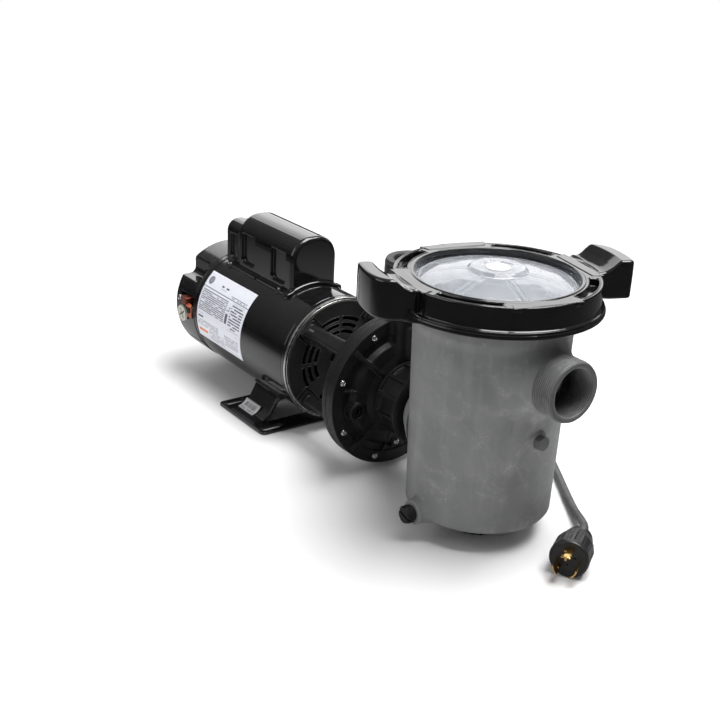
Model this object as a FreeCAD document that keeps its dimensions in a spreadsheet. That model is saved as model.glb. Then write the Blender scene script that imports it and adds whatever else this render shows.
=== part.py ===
"""Pool pump: a single-speed motor, its centrifugal pump end and its strainer trap.

Row frame: +X runs along the pump shaft towards the suction inlet, +Z is up, the floor is z = 0, the
shaft axis lies in y = 0 and the origin is the centre of the foot's bolt slots.  All sizes are
millimetres.  Lengths along the shaft are counted from a station in front of the motor, which stands
datum_shift ahead of the origin.  Pieces turned about the shaft are drawn about their own X axis and
lifted to the shaft height; pieces turned about the trap are drawn about their own Z axis.
"""
import FreeCAD, Part
import Sketcher
import math
import os
from types import SimpleNamespace

DIMENSIONS = {
    "datum_shift": 85.0,
    # motor
    "shaft_height": 88.9,
    "shell_radius": 72.2,
    "shell_wall": 2.2,
    "shell_rear": -218.0,
    "shell_front": -14.0,
    "bracket_lip": 3.0,
    "grille_radius": 69.6,
    "grille_thickness": 3.0,
    "shaft_radius": 8.5,
    "bearing_radius": 20.0,
    "bearing_width": 12.0,
    "running_gap": 0.05,
    "stator_rear": -165.0,
    "stator_front": -78.0,
    "rotor_radius": 38.0,
    "bolt_circle": 64.0,
    "bolt_radius": 2.5,
    "cover_radius": 73.0,
    "cover_rear": -270.0,
    "cover_wall": 2.6,
    "capcover_width": 62.0,
    "capcover_top": 219.0,
    "capcover_front": -64.0,
    "capcover_rear": -214.0,
    "capcover_step": -186.0,
    # foot
    "foot_half_width": 86.0,
    "foot_rear": -136.5,
    "foot_front": -33.5,
    "foot_thickness": 3.4,
    "slot_spread": 84.0,
    "slot_offset": 68.0,
    "slot_length": 26.0,
    "slot_width": 8.7,
    "web_width": 50.0,
    # pump end
    "plate_rear": 79.7,
    "plate_front": 88.0,
    "flange_radius": 84.0,
    "flange_front": 99.7,
    "screw_circle": 75.6,
    "screw_turn": 116.0,
    "screw_radius": 2.5,
    "leg_circle": 61.0,
    "neck_radius": 33.0,
    "neck_front": 140.0,
    "pipe_bore": 23.9,
    "pipe_radius": 30.15,
    "discharge_x": 95.0,
    "discharge_y": 17.0,
    "discharge_top": 236.0,
    "nut_rear": 115.0,
    "nut_front": 152.0,
    "nut_radius": 40.0,
    # trap
    "trap_x": 242.3,
    "barrel_bottom": 23.6,
    "barrel_low_radius": 73.0,
    "barrel_top_radius": 77.3,
    "barrel_top": 216.0,
    "barrel_wall": 4.8,
    "rim_radius": 93.0,
    "rim_top": 250.0,
    "inlet_height": 184.7,
    "inlet_face": 356.6,
    "ring_radius": 99.1,
    "ring_flange_radius": 103.7,
    "ring_bottom": 236.5,
    "ring_top": 265.4,
    "ring_opening": 78.9,
    "ring_turn": -13.0,
    "handle_radius": 134.5,
    "handle_top": 277.5,
    "handle_spread": 30.6,
    "drain_height": 31.5,
    "gauge_height": 121.0,
    # cord and plug
    "cord_radius": 4.4,
    "plug_radius": 19.4,
    "plug_length": 36.0,
    "plug_face_x": 372.8,
    "plug_face_y": 1.0,
    "plug_heading": -58.6,
}

AXIAL_FIT = 0.05
QUARTERS = 4


class Size:
    """A number kept together with the spreadsheet expression that it comes from."""

    def __init__(self, value, text=None):
        self.value = float(value)
        self.text = text or repr(float(value))

    def __add__(self, other):
        other = as_size(other)
        return Size(self.value + other.value, "(%s + %s)" % (self.text, other.text))

    def __sub__(self, other):
        other = as_size(other)
        return Size(self.value - other.value, "(%s - %s)" % (self.text, other.text))

    def __mul__(self, other):
        other = as_size(other)
        return Size(self.value * other.value, "(%s * %s)" % (self.text, other.text))

    def __truediv__(self, other):
        other = as_size(other)
        return Size(self.value / other.value, "(%s / %s)" % (self.text, other.text))

    def __neg__(self):
        return Size(-self.value, "(0 - %s)" % self.text)

    def __radd__(self, other):
        return as_size(other) + self

    def __rsub__(self, other):
        return as_size(other) - self


def as_size(number):
    """Any plain number as a Size, so that plain and bound numbers mix in one outline."""
    return number if isinstance(number, Size) else Size(number)


def make_sheet(doc):
    """The spreadsheet of driving dimensions, one named cell each."""
    sheet = doc.addObject("Spreadsheet::Sheet", "Dims")
    for row, (name, value) in enumerate(DIMENSIONS.items(), start=1):
        sheet.set("A%d" % row, name)
        sheet.set("B%d" % row, str(value))
        sheet.setAlias("B%d" % row, name)
    doc.recompute()
    return SimpleNamespace(**{name: Size(sheet.get(name), "Dims." + name) for name in DIMENSIONS})


doc = FreeCAD.newDocument("pool_pump")
D = make_sheet(doc)
NODES = []


def place(piece, x=0, y=0, z=0):
    """Bind where a piece's own origin sits in the row frame."""
    for axis, distance in (("x", x), ("y", y), ("z", z)):
        distance = as_size(distance)
        if distance.value:
            piece.setExpression("Placement.Base." + axis, distance.text)


def new_body(label, x=0, y=0, z=0):
    body = doc.addObject("PartDesign::Body", label)
    body.Label = label
    place(body, x + D.datum_shift, y, z)
    NODES.append(body)
    return body


def shaft_body(label):
    """A body drawn about the pump shaft."""
    return new_body(label, z=D.shaft_height)


def trap_body_at(label):
    """A body drawn about the trap's vertical axis."""
    return new_body(label, x=D.trap_x)


def datum(body, role):
    """One of the body's own origin planes or axes."""
    return next(item for item in body.Origin.OriginFeatures if item.Role == role)


def attach(feature, body, role, u=0, v=0, w=0, turn=0, about=(0, 0, 1)):
    """Lie on an origin plane, moved by u and v in it and w along its normal, turned about an axis."""
    feature.AttachmentSupport = [(datum(body, role), "")]
    feature.MapMode = "FlatFace"
    rotation = FreeCAD.Rotation(FreeCAD.Vector(*about), turn)
    feature.AttachmentOffset = FreeCAD.Placement(FreeCAD.Vector(0, 0, 0), rotation)
    for axis, distance in (("x", u), ("y", v), ("z", w)):
        distance = as_size(distance)
        if distance.value:
            feature.setExpression("AttachmentOffset.Base." + axis, distance.text)
    return feature


def sketch_on(body, role, **where):
    sketch = body.newObject("Sketcher::SketchObject", body.Label + "_sketch")
    return attach(sketch, body, role, **where)


def pin_point(sketch, geometry, point, x, y):
    """Bind one point of the sketch to its distances from the sketch's origin."""
    for kind, axis, distance in (("DistanceX", -2, x), ("DistanceY", -1, y)):
        distance = as_size(distance)
        if distance.value:
            values = (kind, -1, 1, geometry, point, distance.value)
            index = sketch.addConstraint(Sketcher.Constraint(*values))
            sketch.setExpression("Constraints[%d]" % index, distance.text)
        else:
            sketch.addConstraint(Sketcher.Constraint("PointOnObject", geometry, point, axis))


def outline(sketch, points, arcs=None):
    """A closed outline through bound corners.

    arcs gives the edges that are arcs: edge number to radius, positive where the arc's centre is on
    the left of the way from one corner to the next.
    """
    arcs = arcs or {}
    first = sketch.GeometryCount
    corners = [FreeCAD.Vector(as_size(x).value, as_size(y).value, 0) for x, y in points]
    count = len(corners)
    ends = []
    for number, start in enumerate(corners):
        finish = corners[(number + 1) % count]
        if number in arcs:
            radius = as_size(arcs[number])
            chord = finish - start
            rise = math.sqrt(max(radius.value ** 2 - chord.Length ** 2 / 4, 0))
            left = FreeCAD.Vector(-chord.y, chord.x, 0).normalize()
            side = 1 if radius.value > 0 else -1
            centre = (start + finish) / 2 + left * rise * side
            begin, end = (start, finish) if side > 0 else (finish, start)
            angles = [math.atan2(p.y - centre.y, p.x - centre.x) for p in (begin, end)]
            circle = Part.Circle(centre, FreeCAD.Vector(0, 0, 1), abs(radius.value))
            sketch.addGeometry(Part.ArcOfCircle(circle, *angles), False)
            ends.append((1, 2) if side > 0 else (2, 1))
        else:
            sketch.addGeometry(Part.LineSegment(start, finish), False)
            ends.append((1, 2))
    for number in range(count):
        after = (number + 1) % count
        joint = (first + number, ends[number][1], first + after, ends[after][0])
        sketch.addConstraint(Sketcher.Constraint("Coincident", *joint))
    for number, (x, y) in enumerate(points):
        pin_point(sketch, first + number, ends[number][0], x, y)
    for number, radius in arcs.items():
        size = abs(as_size(radius).value)
        index = sketch.addConstraint(Sketcher.Constraint("Radius", first + number, size))
        sketch.setExpression("Constraints[%d]" % index, "abs(%s)" % as_size(radius).text)


def circle(sketch, radius, x=0, y=0):
    radius = as_size(radius)
    centre = FreeCAD.Vector(as_size(x).value, as_size(y).value, 0)
    shape = Part.Circle(centre, FreeCAD.Vector(0, 0, 1), radius.value)
    number = sketch.addGeometry(shape, False)
    index = sketch.addConstraint(Sketcher.Constraint("Radius", number, radius.value))
    sketch.setExpression("Constraints[%d]" % index, radius.text)
    pin_point(sketch, number, 3, x, y)


def box_outline(sketch, x0, x1, y0, y1):
    outline(sketch, [(x0, y0), (x1, y0), (x1, y1), (x0, y1)])


def rounded_box(sketch, x0, x1, y0, y1, corner):
    """A rectangle whose corners are arcs."""
    x0, x1, y0, y1 = (as_size(number) for number in (x0, x1, y0, y1))
    points = [
        (x0 + corner, y0), (x1 - corner, y0), (x1, y0 + corner), (x1, y1 - corner),
        (x1 - corner, y1), (x0 + corner, y1), (x0, y1 - corner), (x0, y0 + corner),
    ]
    outline(sketch, points, {1: corner, 3: corner, 5: corner, 7: corner})


def polygon(sketch, sides, across_flats, x=0, y=0):
    """A regular polygon bound by its distance across flats."""
    reach = as_size(across_flats) / (2 * math.cos(math.pi / sides))
    turns = [2 * math.pi * (number + 0.5) / sides for number in range(sides)]
    outline(sketch, [(x + reach * math.cos(a), y + reach * math.sin(a)) for a in turns])


def finish_feature(body, feature):
    body.Tip = feature
    doc.recompute()
    if "Invalid" in feature.State:
        raise RuntimeError("%s failed" % feature.Name)
    return feature


def spin(body, sketch, axis, angle=360, cut=False):
    """Revolve a sketch about its own horizontal (H) or vertical (V) axis."""
    kind = "PartDesign::Groove" if cut else "PartDesign::Revolution"
    before = body.Shape.Volume if cut else 0
    feature = body.newObject(kind, body.Label + ("_groove" if cut else "_turned"))
    feature.Profile = sketch
    feature.ReferenceAxis = (sketch, [axis + "_Axis"])
    feature.Angle = angle
    feature.Midplane = angle < 360
    finish_feature(body, feature)
    if cut:
        check_cut(body, before)
    return feature


def pad(body, sketch, length, both=False, back=False):
    feature = body.newObject("PartDesign::Pad", body.Label + "_pad")
    feature.Profile = sketch
    feature.setExpression("Length", as_size(length).text)
    feature.Midplane = both
    feature.Reversed = back
    return finish_feature(body, feature)


def pocket(body, sketch, length, both=False, back=False):
    before = body.Shape.Volume
    feature = body.newObject("PartDesign::Pocket", body.Label + "_pocket")
    feature.Profile = sketch
    feature.setExpression("Length", as_size(length).text)
    feature.Midplane = both
    feature.Reversed = back
    finish_feature(body, feature)
    check_cut(body, before)
    return feature


def check_cut(body, before):
    if body.Shape.Volume >= before - 1e-3:
        raise RuntimeError("a cut in %s removed nothing" % body.Label)


def rod(body, role, radius, length, u=0, v=0, w=0, cut=False, top=None):
    """A cylinder, or a cone when top is given, standing on an origin plane's normal."""
    shape = "Cylinder" if top is None else "Cone"
    kind = "PartDesign::%s%s" % ("Subtractive" if cut else "Additive", shape)
    before = body.Shape.Volume if cut else 0
    feature = body.newObject(kind, body.Label + "_rod")
    attach(feature, body, role, u=u, v=v, w=w)
    feature.setExpression("Radius" if top is None else "Radius1", as_size(radius).text)
    if top is not None:
        feature.setExpression("Radius2", as_size(top).text)
    feature.setExpression("Height", as_size(length).text)
    finish_feature(body, feature)
    if cut:
        check_cut(body, before)
    return feature


def around(body, features, axis, count, sweep=360):
    """Repeat features evenly round an origin axis, or over part of a turn."""
    pattern = body.newObject("PartDesign::PolarPattern", body.Label + "_pattern")
    pattern.Originals = features
    pattern.Axis = (datum(body, axis + "_Axis"), [""])
    pattern.Angle = sweep
    pattern.Occurrences = count
    return finish_feature(body, pattern)


def mirrored(body, features, role):
    mirror = body.newObject("PartDesign::Mirrored", body.Label + "_mirror")
    mirror.Originals = features
    mirror.MirrorPlane = (datum(body, role), [""])
    return finish_feature(body, mirror)


def round_edges(body, radius, wanted):
    """Fillet the edges of the body that wanted() picks."""
    names = ["Edge%d" % n for n, edge in enumerate(body.Shape.Edges, start=1) if wanted(edge)]
    if not names:
        raise RuntimeError("no edge to round on " + body.Label)
    base = body.Tip
    fillet = body.newObject("PartDesign::Fillet", body.Label + "_fillet")
    fillet.Base = (base, names)
    fillet.setExpression("Radius", as_size(radius).text)
    return finish_feature(body, fillet)


def turned(body, points, axis="H", arcs=None):
    """A solid of revolution from (along, radius) corners for H, or (radius, height) for V."""
    sketch = sketch_on(body, "XZ_Plane")
    outline(sketch, points, arcs)
    return spin(body, sketch, axis)


def tube(body, x0, x1, inner, outer):
    """A plain ring about the shaft."""
    return turned(body, [(x0, inner), (x1, inner), (x1, outer), (x0, outer)])


def washer(body, z0, z1, inner, outer):
    """A plain ring about the trap's axis."""
    return turned(body, [(inner, z0), (outer, z0), (outer, z1), (inner, z1)], "V")


# --- motor ---------------------------------------------------------------------------------------

def motor_shell():
    body = shaft_body("motor_shell")
    tube(body, D.shell_rear, D.shell_front, D.shell_radius - D.shell_wall, D.shell_radius)


def bolt_holes(body, start, length, radius):
    """Four holes on the through bolts' circle, on the diagonals."""
    reach = D.bolt_circle * math.cos(math.pi / 4)
    hole = rod(body, "YZ_Plane", radius, length, u=reach, v=reach, w=start, cut=True)
    around(body, [hole], "X", QUARTERS)


def end_bracket(label, seam, outward, hub_depth):
    """A cast end bracket: rim, spigot in the shell, four air openings and a bearing seat."""
    body = shaft_body(label)
    spigot = D.shell_radius - D.shell_wall - D.running_gap
    seat = D.bearing_radius + D.running_gap
    lip = seam + D.bracket_lip * outward
    inner = seam - hub_depth * outward
    web_back = seam - 3 * outward
    hub = D.bearing_radius + 6
    shoulder = inner + D.bearing_width * outward
    turned(body, [
        (lip, D.shaft_radius + 3), (lip, D.shell_radius), (seam, D.shell_radius), (seam, spigot),
        (seam - 8 * outward, spigot), (seam - 8 * outward, spigot - 2.5), (web_back, spigot - 2.5),
        (web_back, hub), (inner, hub), (inner, seat), (shoulder, seat),
        (shoulder, D.shaft_radius + 3),
    ])
    opening = sketch_on(body, "XZ_Plane")
    box_outline(opening, seam - 4 * outward, lip + 1 * outward, 29, 53)
    air = spin(body, opening, "H", angle=64, cut=True)
    around(body, [air], "X", QUARTERS)
    bolt_holes(body, seam - 14, as_size(28), D.bolt_radius + 0.2)


def front_grille():
    """The black vented disc on the front bracket: three rows of arc slots in eight groups."""
    body = shaft_body("front_grille")
    rear = D.shell_front + D.bracket_lip + AXIAL_FIT
    tube(body, rear, rear + D.grille_thickness, D.shaft_radius + 4, D.grille_radius)
    rows = ((31, 35), (39, 43), (47, 51))
    slots = []
    for tilt in (-17, 17):
        sketch = sketch_on(body, "XZ_Plane", turn=tilt, about=(1, 0, 0))
        for low, high in rows:
            box_outline(sketch, rear - 1, rear + D.grille_thickness + 1, low, high)
        slots.append(spin(body, sketch, "H", angle=29, cut=True))
    around(body, slots, "X", QUARTERS)
    bolt_holes(body, rear - 1, D.grille_thickness + 2, D.bolt_radius + 0.2)


def bearing(label, rear):
    """A sealed ball bearing, drawn as one ring with shields set back from its faces."""
    body = shaft_body(label)
    front = rear + D.bearing_width
    bore = D.shaft_radius + D.running_gap
    turned(body, [
        (rear, bore), (rear, bore + 2.5), (rear + 0.8, bore + 2.5), (rear + 0.8, 17.4), (rear, 17.4),
        (rear, D.bearing_radius), (front, D.bearing_radius), (front, 17.4), (front - 0.8, 17.4),
        (front - 0.8, bore + 2.5), (front, bore + 2.5), (front, bore),
    ])


def motor_shaft():
    body = shaft_body("motor_shaft")
    nose = D.shaft_radius - 1.5
    turned(body, [
        (D.shell_rear - 30, 0), (D.shell_rear - 30, nose), (D.shell_rear - 1, nose),
        (D.shell_rear - 1, D.shaft_radius), (D.plate_rear - 2, D.shaft_radius),
        (D.plate_rear - 2, nose), (D.plate_front + 14, nose), (D.plate_front + 14, 0),
    ])


def rotor_core():
    body = shaft_body("rotor_core")
    tube(body, D.stator_rear, D.stator_front, D.shaft_radius, D.rotor_radius)
    ring = sketch_on(body, "XZ_Plane")
    box_outline(ring, D.stator_rear - 7, D.stator_rear, 24, 36)
    box_outline(ring, D.stator_front, D.stator_front + 7, 24, 36)
    spin(body, ring, "H")


def stator_core():
    body = shaft_body("stator_core")
    outer = D.shell_radius - D.shell_wall - D.running_gap
    tube(body, D.stator_rear, D.stator_front, D.rotor_radius + 0.4, outer)
    bolt_holes(body, D.stator_rear - 1, D.stator_front - D.stator_rear + 2, D.bolt_radius + 1)


def stator_windings():
    """The copper end turns at both ends of the stator."""
    body = shaft_body("stator_windings")
    sketch = sketch_on(body, "XZ_Plane")
    rounded_box(sketch, D.stator_rear - 22, D.stator_rear - AXIAL_FIT, 43, 59, 6)
    rounded_box(sketch, D.stator_front + AXIAL_FIT, D.stator_front + 22, 43, 59, 6)
    spin(body, sketch, "H")


def cooling_fan():
    """The fan behind the front bracket: a dished disc with straight blades."""
    body = shaft_body("cooling_fan")
    rear = D.stator_front + 26
    turned(body, [
        (rear, D.shaft_radius), (rear, 56), (rear + 2, 56), (rear + 2, 14), (rear + 14, 14),
        (rear + 14, D.shaft_radius),
    ])
    blade = sketch_on(body, "XZ_Plane")
    box_outline(blade, rear + 1, rear + 13, 15, 55)
    vane = pad(body, blade, as_size(2), both=True)
    around(body, [vane], "X", 10)


def centrifugal_switch():
    body = shaft_body("centrifugal_switch")
    rear = D.shell_rear - 22
    turned(body, [
        (rear, D.shaft_radius - 1.5), (rear, 24), (rear + 3, 24), (rear + 3, 15), (rear + 12, 15),
        (rear + 12, D.shaft_radius - 1.5),
    ])


def terminal_board():
    body = shaft_body("terminal_board")
    sketch = sketch_on(body, "YZ_Plane", w=D.shell_rear - 18)
    rounded_box(sketch, 30, 56, -28, 28, 3)
    board = pad(body, sketch, as_size(3))
    posts = sketch_on(body, "YZ_Plane", w=D.shell_rear - 26)
    for height in (-20, -7, 7, 20):
        circle(posts, 3, x=43, y=height)
    pad(body, posts, as_size(8.5))
    return board


def thermal_protector():
    body = shaft_body("thermal_protector")
    rod(body, "YZ_Plane", 11, 9, u=-40, v=-20, w=D.shell_rear - 14)


def through_bolts():
    """Four long bolts that tie the rear bracket, shell and legs together."""
    body = shaft_body("through_bolts")
    reach = D.bolt_circle * math.cos(math.pi / 4)
    head = D.shell_rear - D.bracket_lip - AXIAL_FIT
    shank = rod(body, "YZ_Plane", D.bolt_radius, D.shell_front - head + 22, u=reach, v=reach, w=head)
    around(body, [shank], "X", QUARTERS)
    cap = rod(body, "YZ_Plane", D.bolt_radius + 2.2, 4, u=reach, v=reach, w=head - 4)
    around(body, [cap], "X", QUARTERS)


def rear_cover():
    """The plastic canopy over the rear bracket, with two stepped notches and air louvres."""
    body = shaft_body("rear_cover")
    front = D.shell_rear - D.bracket_lip - AXIAL_FIT
    corner = 4
    wall = D.cover_wall
    turned(body, [
        (D.cover_rear, 0), (D.cover_rear, D.cover_radius - corner),
        (D.cover_rear + corner, D.cover_radius), (front, D.cover_radius), (front, 0),
    ], arcs={1: -corner})
    notch = sketch_on(body, "YZ_Plane", w=D.cover_rear - 1)
    box_outline(notch, -80, -44, 36, 80)
    cut = pocket(body, notch, front - D.cover_rear - 10, back=True)
    mirrored(body, [cut], "XZ_Plane")
    hollow = sketch_on(body, "YZ_Plane", w=D.cover_rear + wall)
    inside = D.cover_radius - wall - 1.5
    step = math.sqrt(inside.value ** 2 - 41.0 ** 2)
    side = math.sqrt(inside.value ** 2 - 33.0 ** 2)
    outline(hollow, [
        (-41, step), (-41, 33), (-side, 33), (0, -inside), (side, 33), (41, 33), (41, step),
    ], {2: inside, 3: inside, 6: inside})
    pocket(body, hollow, front - D.cover_rear - wall + 1, back=True)
    louvre = sketch_on(body, "YZ_Plane", w=D.cover_rear - 1)
    for row in range(5):
        rounded_box(louvre, -26, 26, -52 + 9 * row, -48 + 9 * row, 1.9)
    pocket(body, louvre, wall + 2, back=True)
    for start, low, high in ((38, 6, 19), (17, -9, 10)):
        window = sketch_on(body, "XZ_Plane", w=50)
        rounded_box(window, D.shell_rear - start, D.shell_rear - 6, low, high, 2)
        pocket(body, window, as_size(30), back=True)
    bolt_holes(body, front - 5.5, as_size(7), D.bolt_radius + 2.8)
    pilot = rod(body, "XZ_Plane", 8.2, 30, u=D.shell_rear - 29.2, v=-7.2, w=50, cut=True)
    exit_hole = rod(body, "XZ_Plane", 8.2, 30, u=D.shell_rear - 27, v=-24, w=-80, cut=True)
    return pilot, exit_hole


def arch(sketch, half, base, top, corner):
    """A doorway outline: straight sides that turn into a round top."""
    outline(sketch, [
        (-half, base), (half, base), (half, top - corner), (half - corner, top),
        (corner - half, top), (-half, top - corner),
    ], {2: corner, 4: corner})


def capacitor_cover():
    """The arched cover on top of the shell, open below, with its lower step and side recesses."""
    body = shaft_body("capacitor_cover")
    half = D.capcover_width / 2
    top = D.capcover_top - D.shaft_height
    wall = 2.4
    seat = D.shell_radius + 0.1
    main = sketch_on(body, "YZ_Plane", w=D.capcover_step)
    arch(main, half, 60, top, 27)
    pad(body, main, D.capcover_front - D.capcover_step)
    face = (D.capcover_front + D.datum_shift - 0.5).value
    foot = D.shaft_height.value + 61
    round_edges(body, 7, lambda edge: edge.BoundBox.XMin > face and edge.BoundBox.ZMax > foot)
    step = sketch_on(body, "YZ_Plane", w=D.capcover_rear)
    arch(step, half - 1, 50, top - 12, 14)
    pad(body, step, D.capcover_step - D.capcover_rear + 4)
    skirt = sketch_on(body, "XZ_Plane")
    box_outline(skirt, D.capcover_front - 3, D.capcover_front + 2, seat - 1, seat + 3)
    spin_partial(body, skirt, 62, 90)
    flange = sketch_on(body, "XY_Plane", w=60)
    box_outline(flange, D.capcover_rear + 8, D.capcover_front - 7, -half - 5, half + 5)
    pad(body, flange, as_size(6.5))
    gap = sketch_on(body, "XY_Plane", w=59)
    box_outline(gap, -138, -134, -half - 6, -half)
    box_outline(gap, -138, -134, half, half + 6)
    pocket(body, gap, as_size(9), back=True)
    recess = sketch_on(body, "XZ_Plane", w=half - wall)
    for start, length, low, high in ((-203, 22, 78, 104), (-174, 26, 78, 107), (-104, 28, 78, 107)):
        rounded_box(recess, start, start + length, low, high, 3)
    hollow_sides = pocket(body, recess, as_size(10), back=True)
    mirrored(body, [hollow_sides], "XZ_Plane")
    saddle = sketch_on(body, "XZ_Plane")
    box_outline(saddle, D.capcover_rear - 20, D.capcover_front + 20, 0, seat)
    spin(body, saddle, "H", cut=True)
    inside = sketch_on(body, "YZ_Plane", w=D.capcover_step + wall)
    arch(inside, half - 5.2, 40, top - wall, 24)
    pocket(body, inside, D.capcover_front - D.capcover_step - 2 * wall, back=True)
    back_room = sketch_on(body, "YZ_Plane", w=D.capcover_rear + wall)
    arch(back_room, half - 6.2, 40, top - 12 - wall, 12)
    pocket(body, back_room, D.capcover_step - D.capcover_rear, back=True)
    ears = sketch_on(body, "XY_Plane", w=59)
    ear_holes = ((-196, 1), (-196, -1), (-86, 1), (-86, -1))
    for x, side in ear_holes:
        circle(ears, 1.6, x=x, y=(half + 2.5) * side)
    pocket(body, ears, as_size(9), back=True)


def spin_partial(body, sketch, angle, centre):
    """Revolve about the body's X axis through part of a turn, centred at an angle above +Y."""
    sketch.AttachmentOffset = FreeCAD.Placement(
        FreeCAD.Vector(0, 0, 0), FreeCAD.Rotation(FreeCAD.Vector(1, 0, 0), centre - 90))
    return spin(body, sketch, "H", angle=angle)


def capacitor_cover_screws():
    body = shaft_body("capacitor_cover_screws")
    half = D.capcover_width / 2 + 2.5
    for x in (-196, -86):
        for side in (-1, 1):
            rod(body, "XY_Plane", 2.4, 1.8, u=x, v=half * side, w=66.55)
            rod(body, "XY_Plane", 1.5, 1.8, u=x, v=half * side, w=64.95)


def capacitor():
    """The oval-ended start capacitor lying along the shell, with its two terminals."""
    body = shaft_body("capacitor")
    rod(body, "YZ_Plane", 19, 98, w=-172, v=102)
    rod(body, "YZ_Plane", 2, 5, w=-177, v=96)
    rod(body, "YZ_Plane", 2, 5, w=-177, v=108)


def nameplate():
    """A thin curved label on the shell, facing -Y."""
    body = shaft_body("nameplate")
    sketch = sketch_on(body, "XZ_Plane")
    skin = D.shell_radius + AXIAL_FIT
    box_outline(sketch, -214, -109, skin, skin + 0.3)
    spin_partial(body, sketch, 69, 166)


def bonding_lug():
    """The copper bonding lug: a block with a clamp screw hole and a tongue below it."""
    body = shaft_body("bonding_lug")
    near = D.shell_rear - 10
    sketch = sketch_on(body, "XZ_Plane", w=66)
    box_outline(sketch, near - 18.5, near - 3.5, 8.4, 17)
    pad(body, sketch, as_size(13))
    tongue = sketch_on(body, "XZ_Plane", w=73.6)
    box_outline(tongue, near - 5, near + 3.5, -8, 9)
    pad(body, tongue, as_size(2))
    rod(body, "XY_Plane", 2.6, 16, u=near - 7, v=-70.4, w=5, cut=True)
    rod(body, "YZ_Plane", 2.05, 10, u=-75.6, v=12.2, w=near - 19.5, cut=True)
    return body


def bonding_screw():
    body = shaft_body("bonding_screw")
    near = D.shell_rear - 31
    rod(body, "YZ_Plane", 2, 9, u=-75.6, v=12.2, w=near - 1)
    head = rod(body, "YZ_Plane", 3.4, 4, u=-75.6, v=12.2, w=near - 4.1)
    slot = sketch_on(body, "YZ_Plane", w=near - 5)
    box_outline(slot, -80, -71, 11.7, 12.7)
    pocket(body, slot, as_size(2.2), back=True)
    return head


def selector_dial():
    """The cross-slotted voltage selector dial in the side of the rear cover."""
    body = new_body("selector_dial", x=D.shell_rear - 29.2, z=D.shaft_height - 7.2)
    rod(body, "XZ_Plane", 10.4, 3.4, w=73.2)
    rod(body, "XZ_Plane", 8.1, 11, w=62.3)
    for turn in (35, 125):
        slot = sketch_on(body, "XZ_Plane", w=77, turn=turn)
        box_outline(slot, -8, 8, -1, 1)
        pocket(body, slot, as_size(2.2))


def motor_foot():
    """The stamped foot: end strips with slots, and two webs that rise to the shell."""
    body = new_body("motor_foot")
    middle = (D.foot_rear + D.foot_front) / 2
    half = D.foot_half_width
    base = sketch_on(body, "XY_Plane")
    rounded_box(base, D.foot_rear, D.foot_front, -half, half, 6)
    pad(body, base, D.foot_thickness)
    opening = sketch_on(body, "XY_Plane")
    rounded_box(opening, middle - D.web_width / 2, middle + D.web_width / 2, -64, 64, 4)
    pocket(body, opening, D.foot_thickness, back=True)
    web = sketch_on(body, "YZ_Plane", w=middle)
    gauge = D.foot_thickness
    outline(web, [
        (-half + 4, gauge - 0.4), (-70, gauge - 0.4), (-58, 9), (-47, 25), (-44.5, 25),
        (-44.5, 28.7), (-49.5, 32.8), (-51, 28.5), (-60.6, 11.4), (-70, gauge + 3),
        (-half + 4, gauge + 1.2),
    ])
    rise = pad(body, web, D.web_width, both=True)
    mirrored(body, [rise], "XZ_Plane")
    slots = sketch_on(body, "XY_Plane")
    reach = D.slot_length / 2 - D.slot_width / 2
    for side in (-1, 1):
        for end in (-1, 1):
            long_slot(slots, middle + D.slot_spread / 2 * end, D.slot_offset * side, reach)
    pocket(body, slots, D.foot_thickness + 2, back=True)


def long_slot(sketch, x, y, reach):
    """A slot that runs along Y: two straight sides and two half-round ends."""
    half = D.slot_width / 2
    low, high = y - reach, y + reach
    outline(sketch, [
        (x + half, low), (x + half, high), (x, high + half), (x - half, high), (x - half, low),
        (x, low - half),
    ], {1: half, 2: half, 4: half, 5: half})


def foot_cushions():
    """Rubber strips between the foot's webs and the shell."""
    body = shaft_body("foot_cushions")
    middle = (D.foot_rear + D.foot_front) / 2
    for centre in (-128.4, -51.6):
        sketch = sketch_on(body, "XZ_Plane")
        low = D.shell_radius + AXIAL_FIT
        box_outline(sketch, middle - 27, middle + 27, low, low + 2.4)
        spin_partial(body, sketch, 7, centre)


def power_cord():
    """The cord: out of the rear cover, down to the floor and round to the plug."""
    heading = math.radians(D.plug_heading.value)
    axis = FreeCAD.Vector(math.cos(heading), math.sin(heading), 0)
    level = D.plug_radius.value + 0.4
    face = FreeCAD.Vector(D.plug_face_x.value, D.plug_face_y.value, level)
    rear = face - axis * (D.plug_length.value + 14.1)
    radius = D.cord_radius.value
    start = FreeCAD.Vector(D.shell_rear.value - 27, D.cover_radius.value + 11.1, 64.9)
    low = radius + 0.2
    points = [
        start, start + FreeCAD.Vector(0, 12, -3), FreeCAD.Vector(-230, 124, 36),
        FreeCAD.Vector(-195, 146, low + 5), FreeCAD.Vector(-150, 160, low + 0.6),
        FreeCAD.Vector(-60, 174, low), FreeCAD.Vector(40, 184, low),
        FreeCAD.Vector(150, 176, low), FreeCAD.Vector(208, 146, low),
        FreeCAD.Vector(262, 111, low + 1.2), FreeCAD.Vector(300, 87, 8.5),
        rear - axis * 12 - FreeCAD.Vector(0, 0, 1.2), rear,
    ]
    path = Part.BSplineCurve()
    path.interpolate(points)
    wire = Part.Wire(path.toShape())
    ring = Part.Wire(Part.makeCircle(radius, start, FreeCAD.Vector(0, 1, 0)))
    piece = doc.addObject("Part::Feature", "power_cord")
    piece.Label = "power_cord"
    piece.Shape = wire.makePipeShell([ring], True, True)
    place(piece, D.datum_shift)
    NODES.append(piece)


def cord_grip():
    """The strain relief where the cord leaves the rear cover."""
    body = new_body("cord_grip", x=D.shell_rear - 27, z=D.shaft_height - 24)
    bore = D.cord_radius + 0.1
    turned_y(body, [(62, bore), (62, 8), (72.4, 8), (75, 11), (78, 11), (84, 7.4), (84, bore)])


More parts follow.
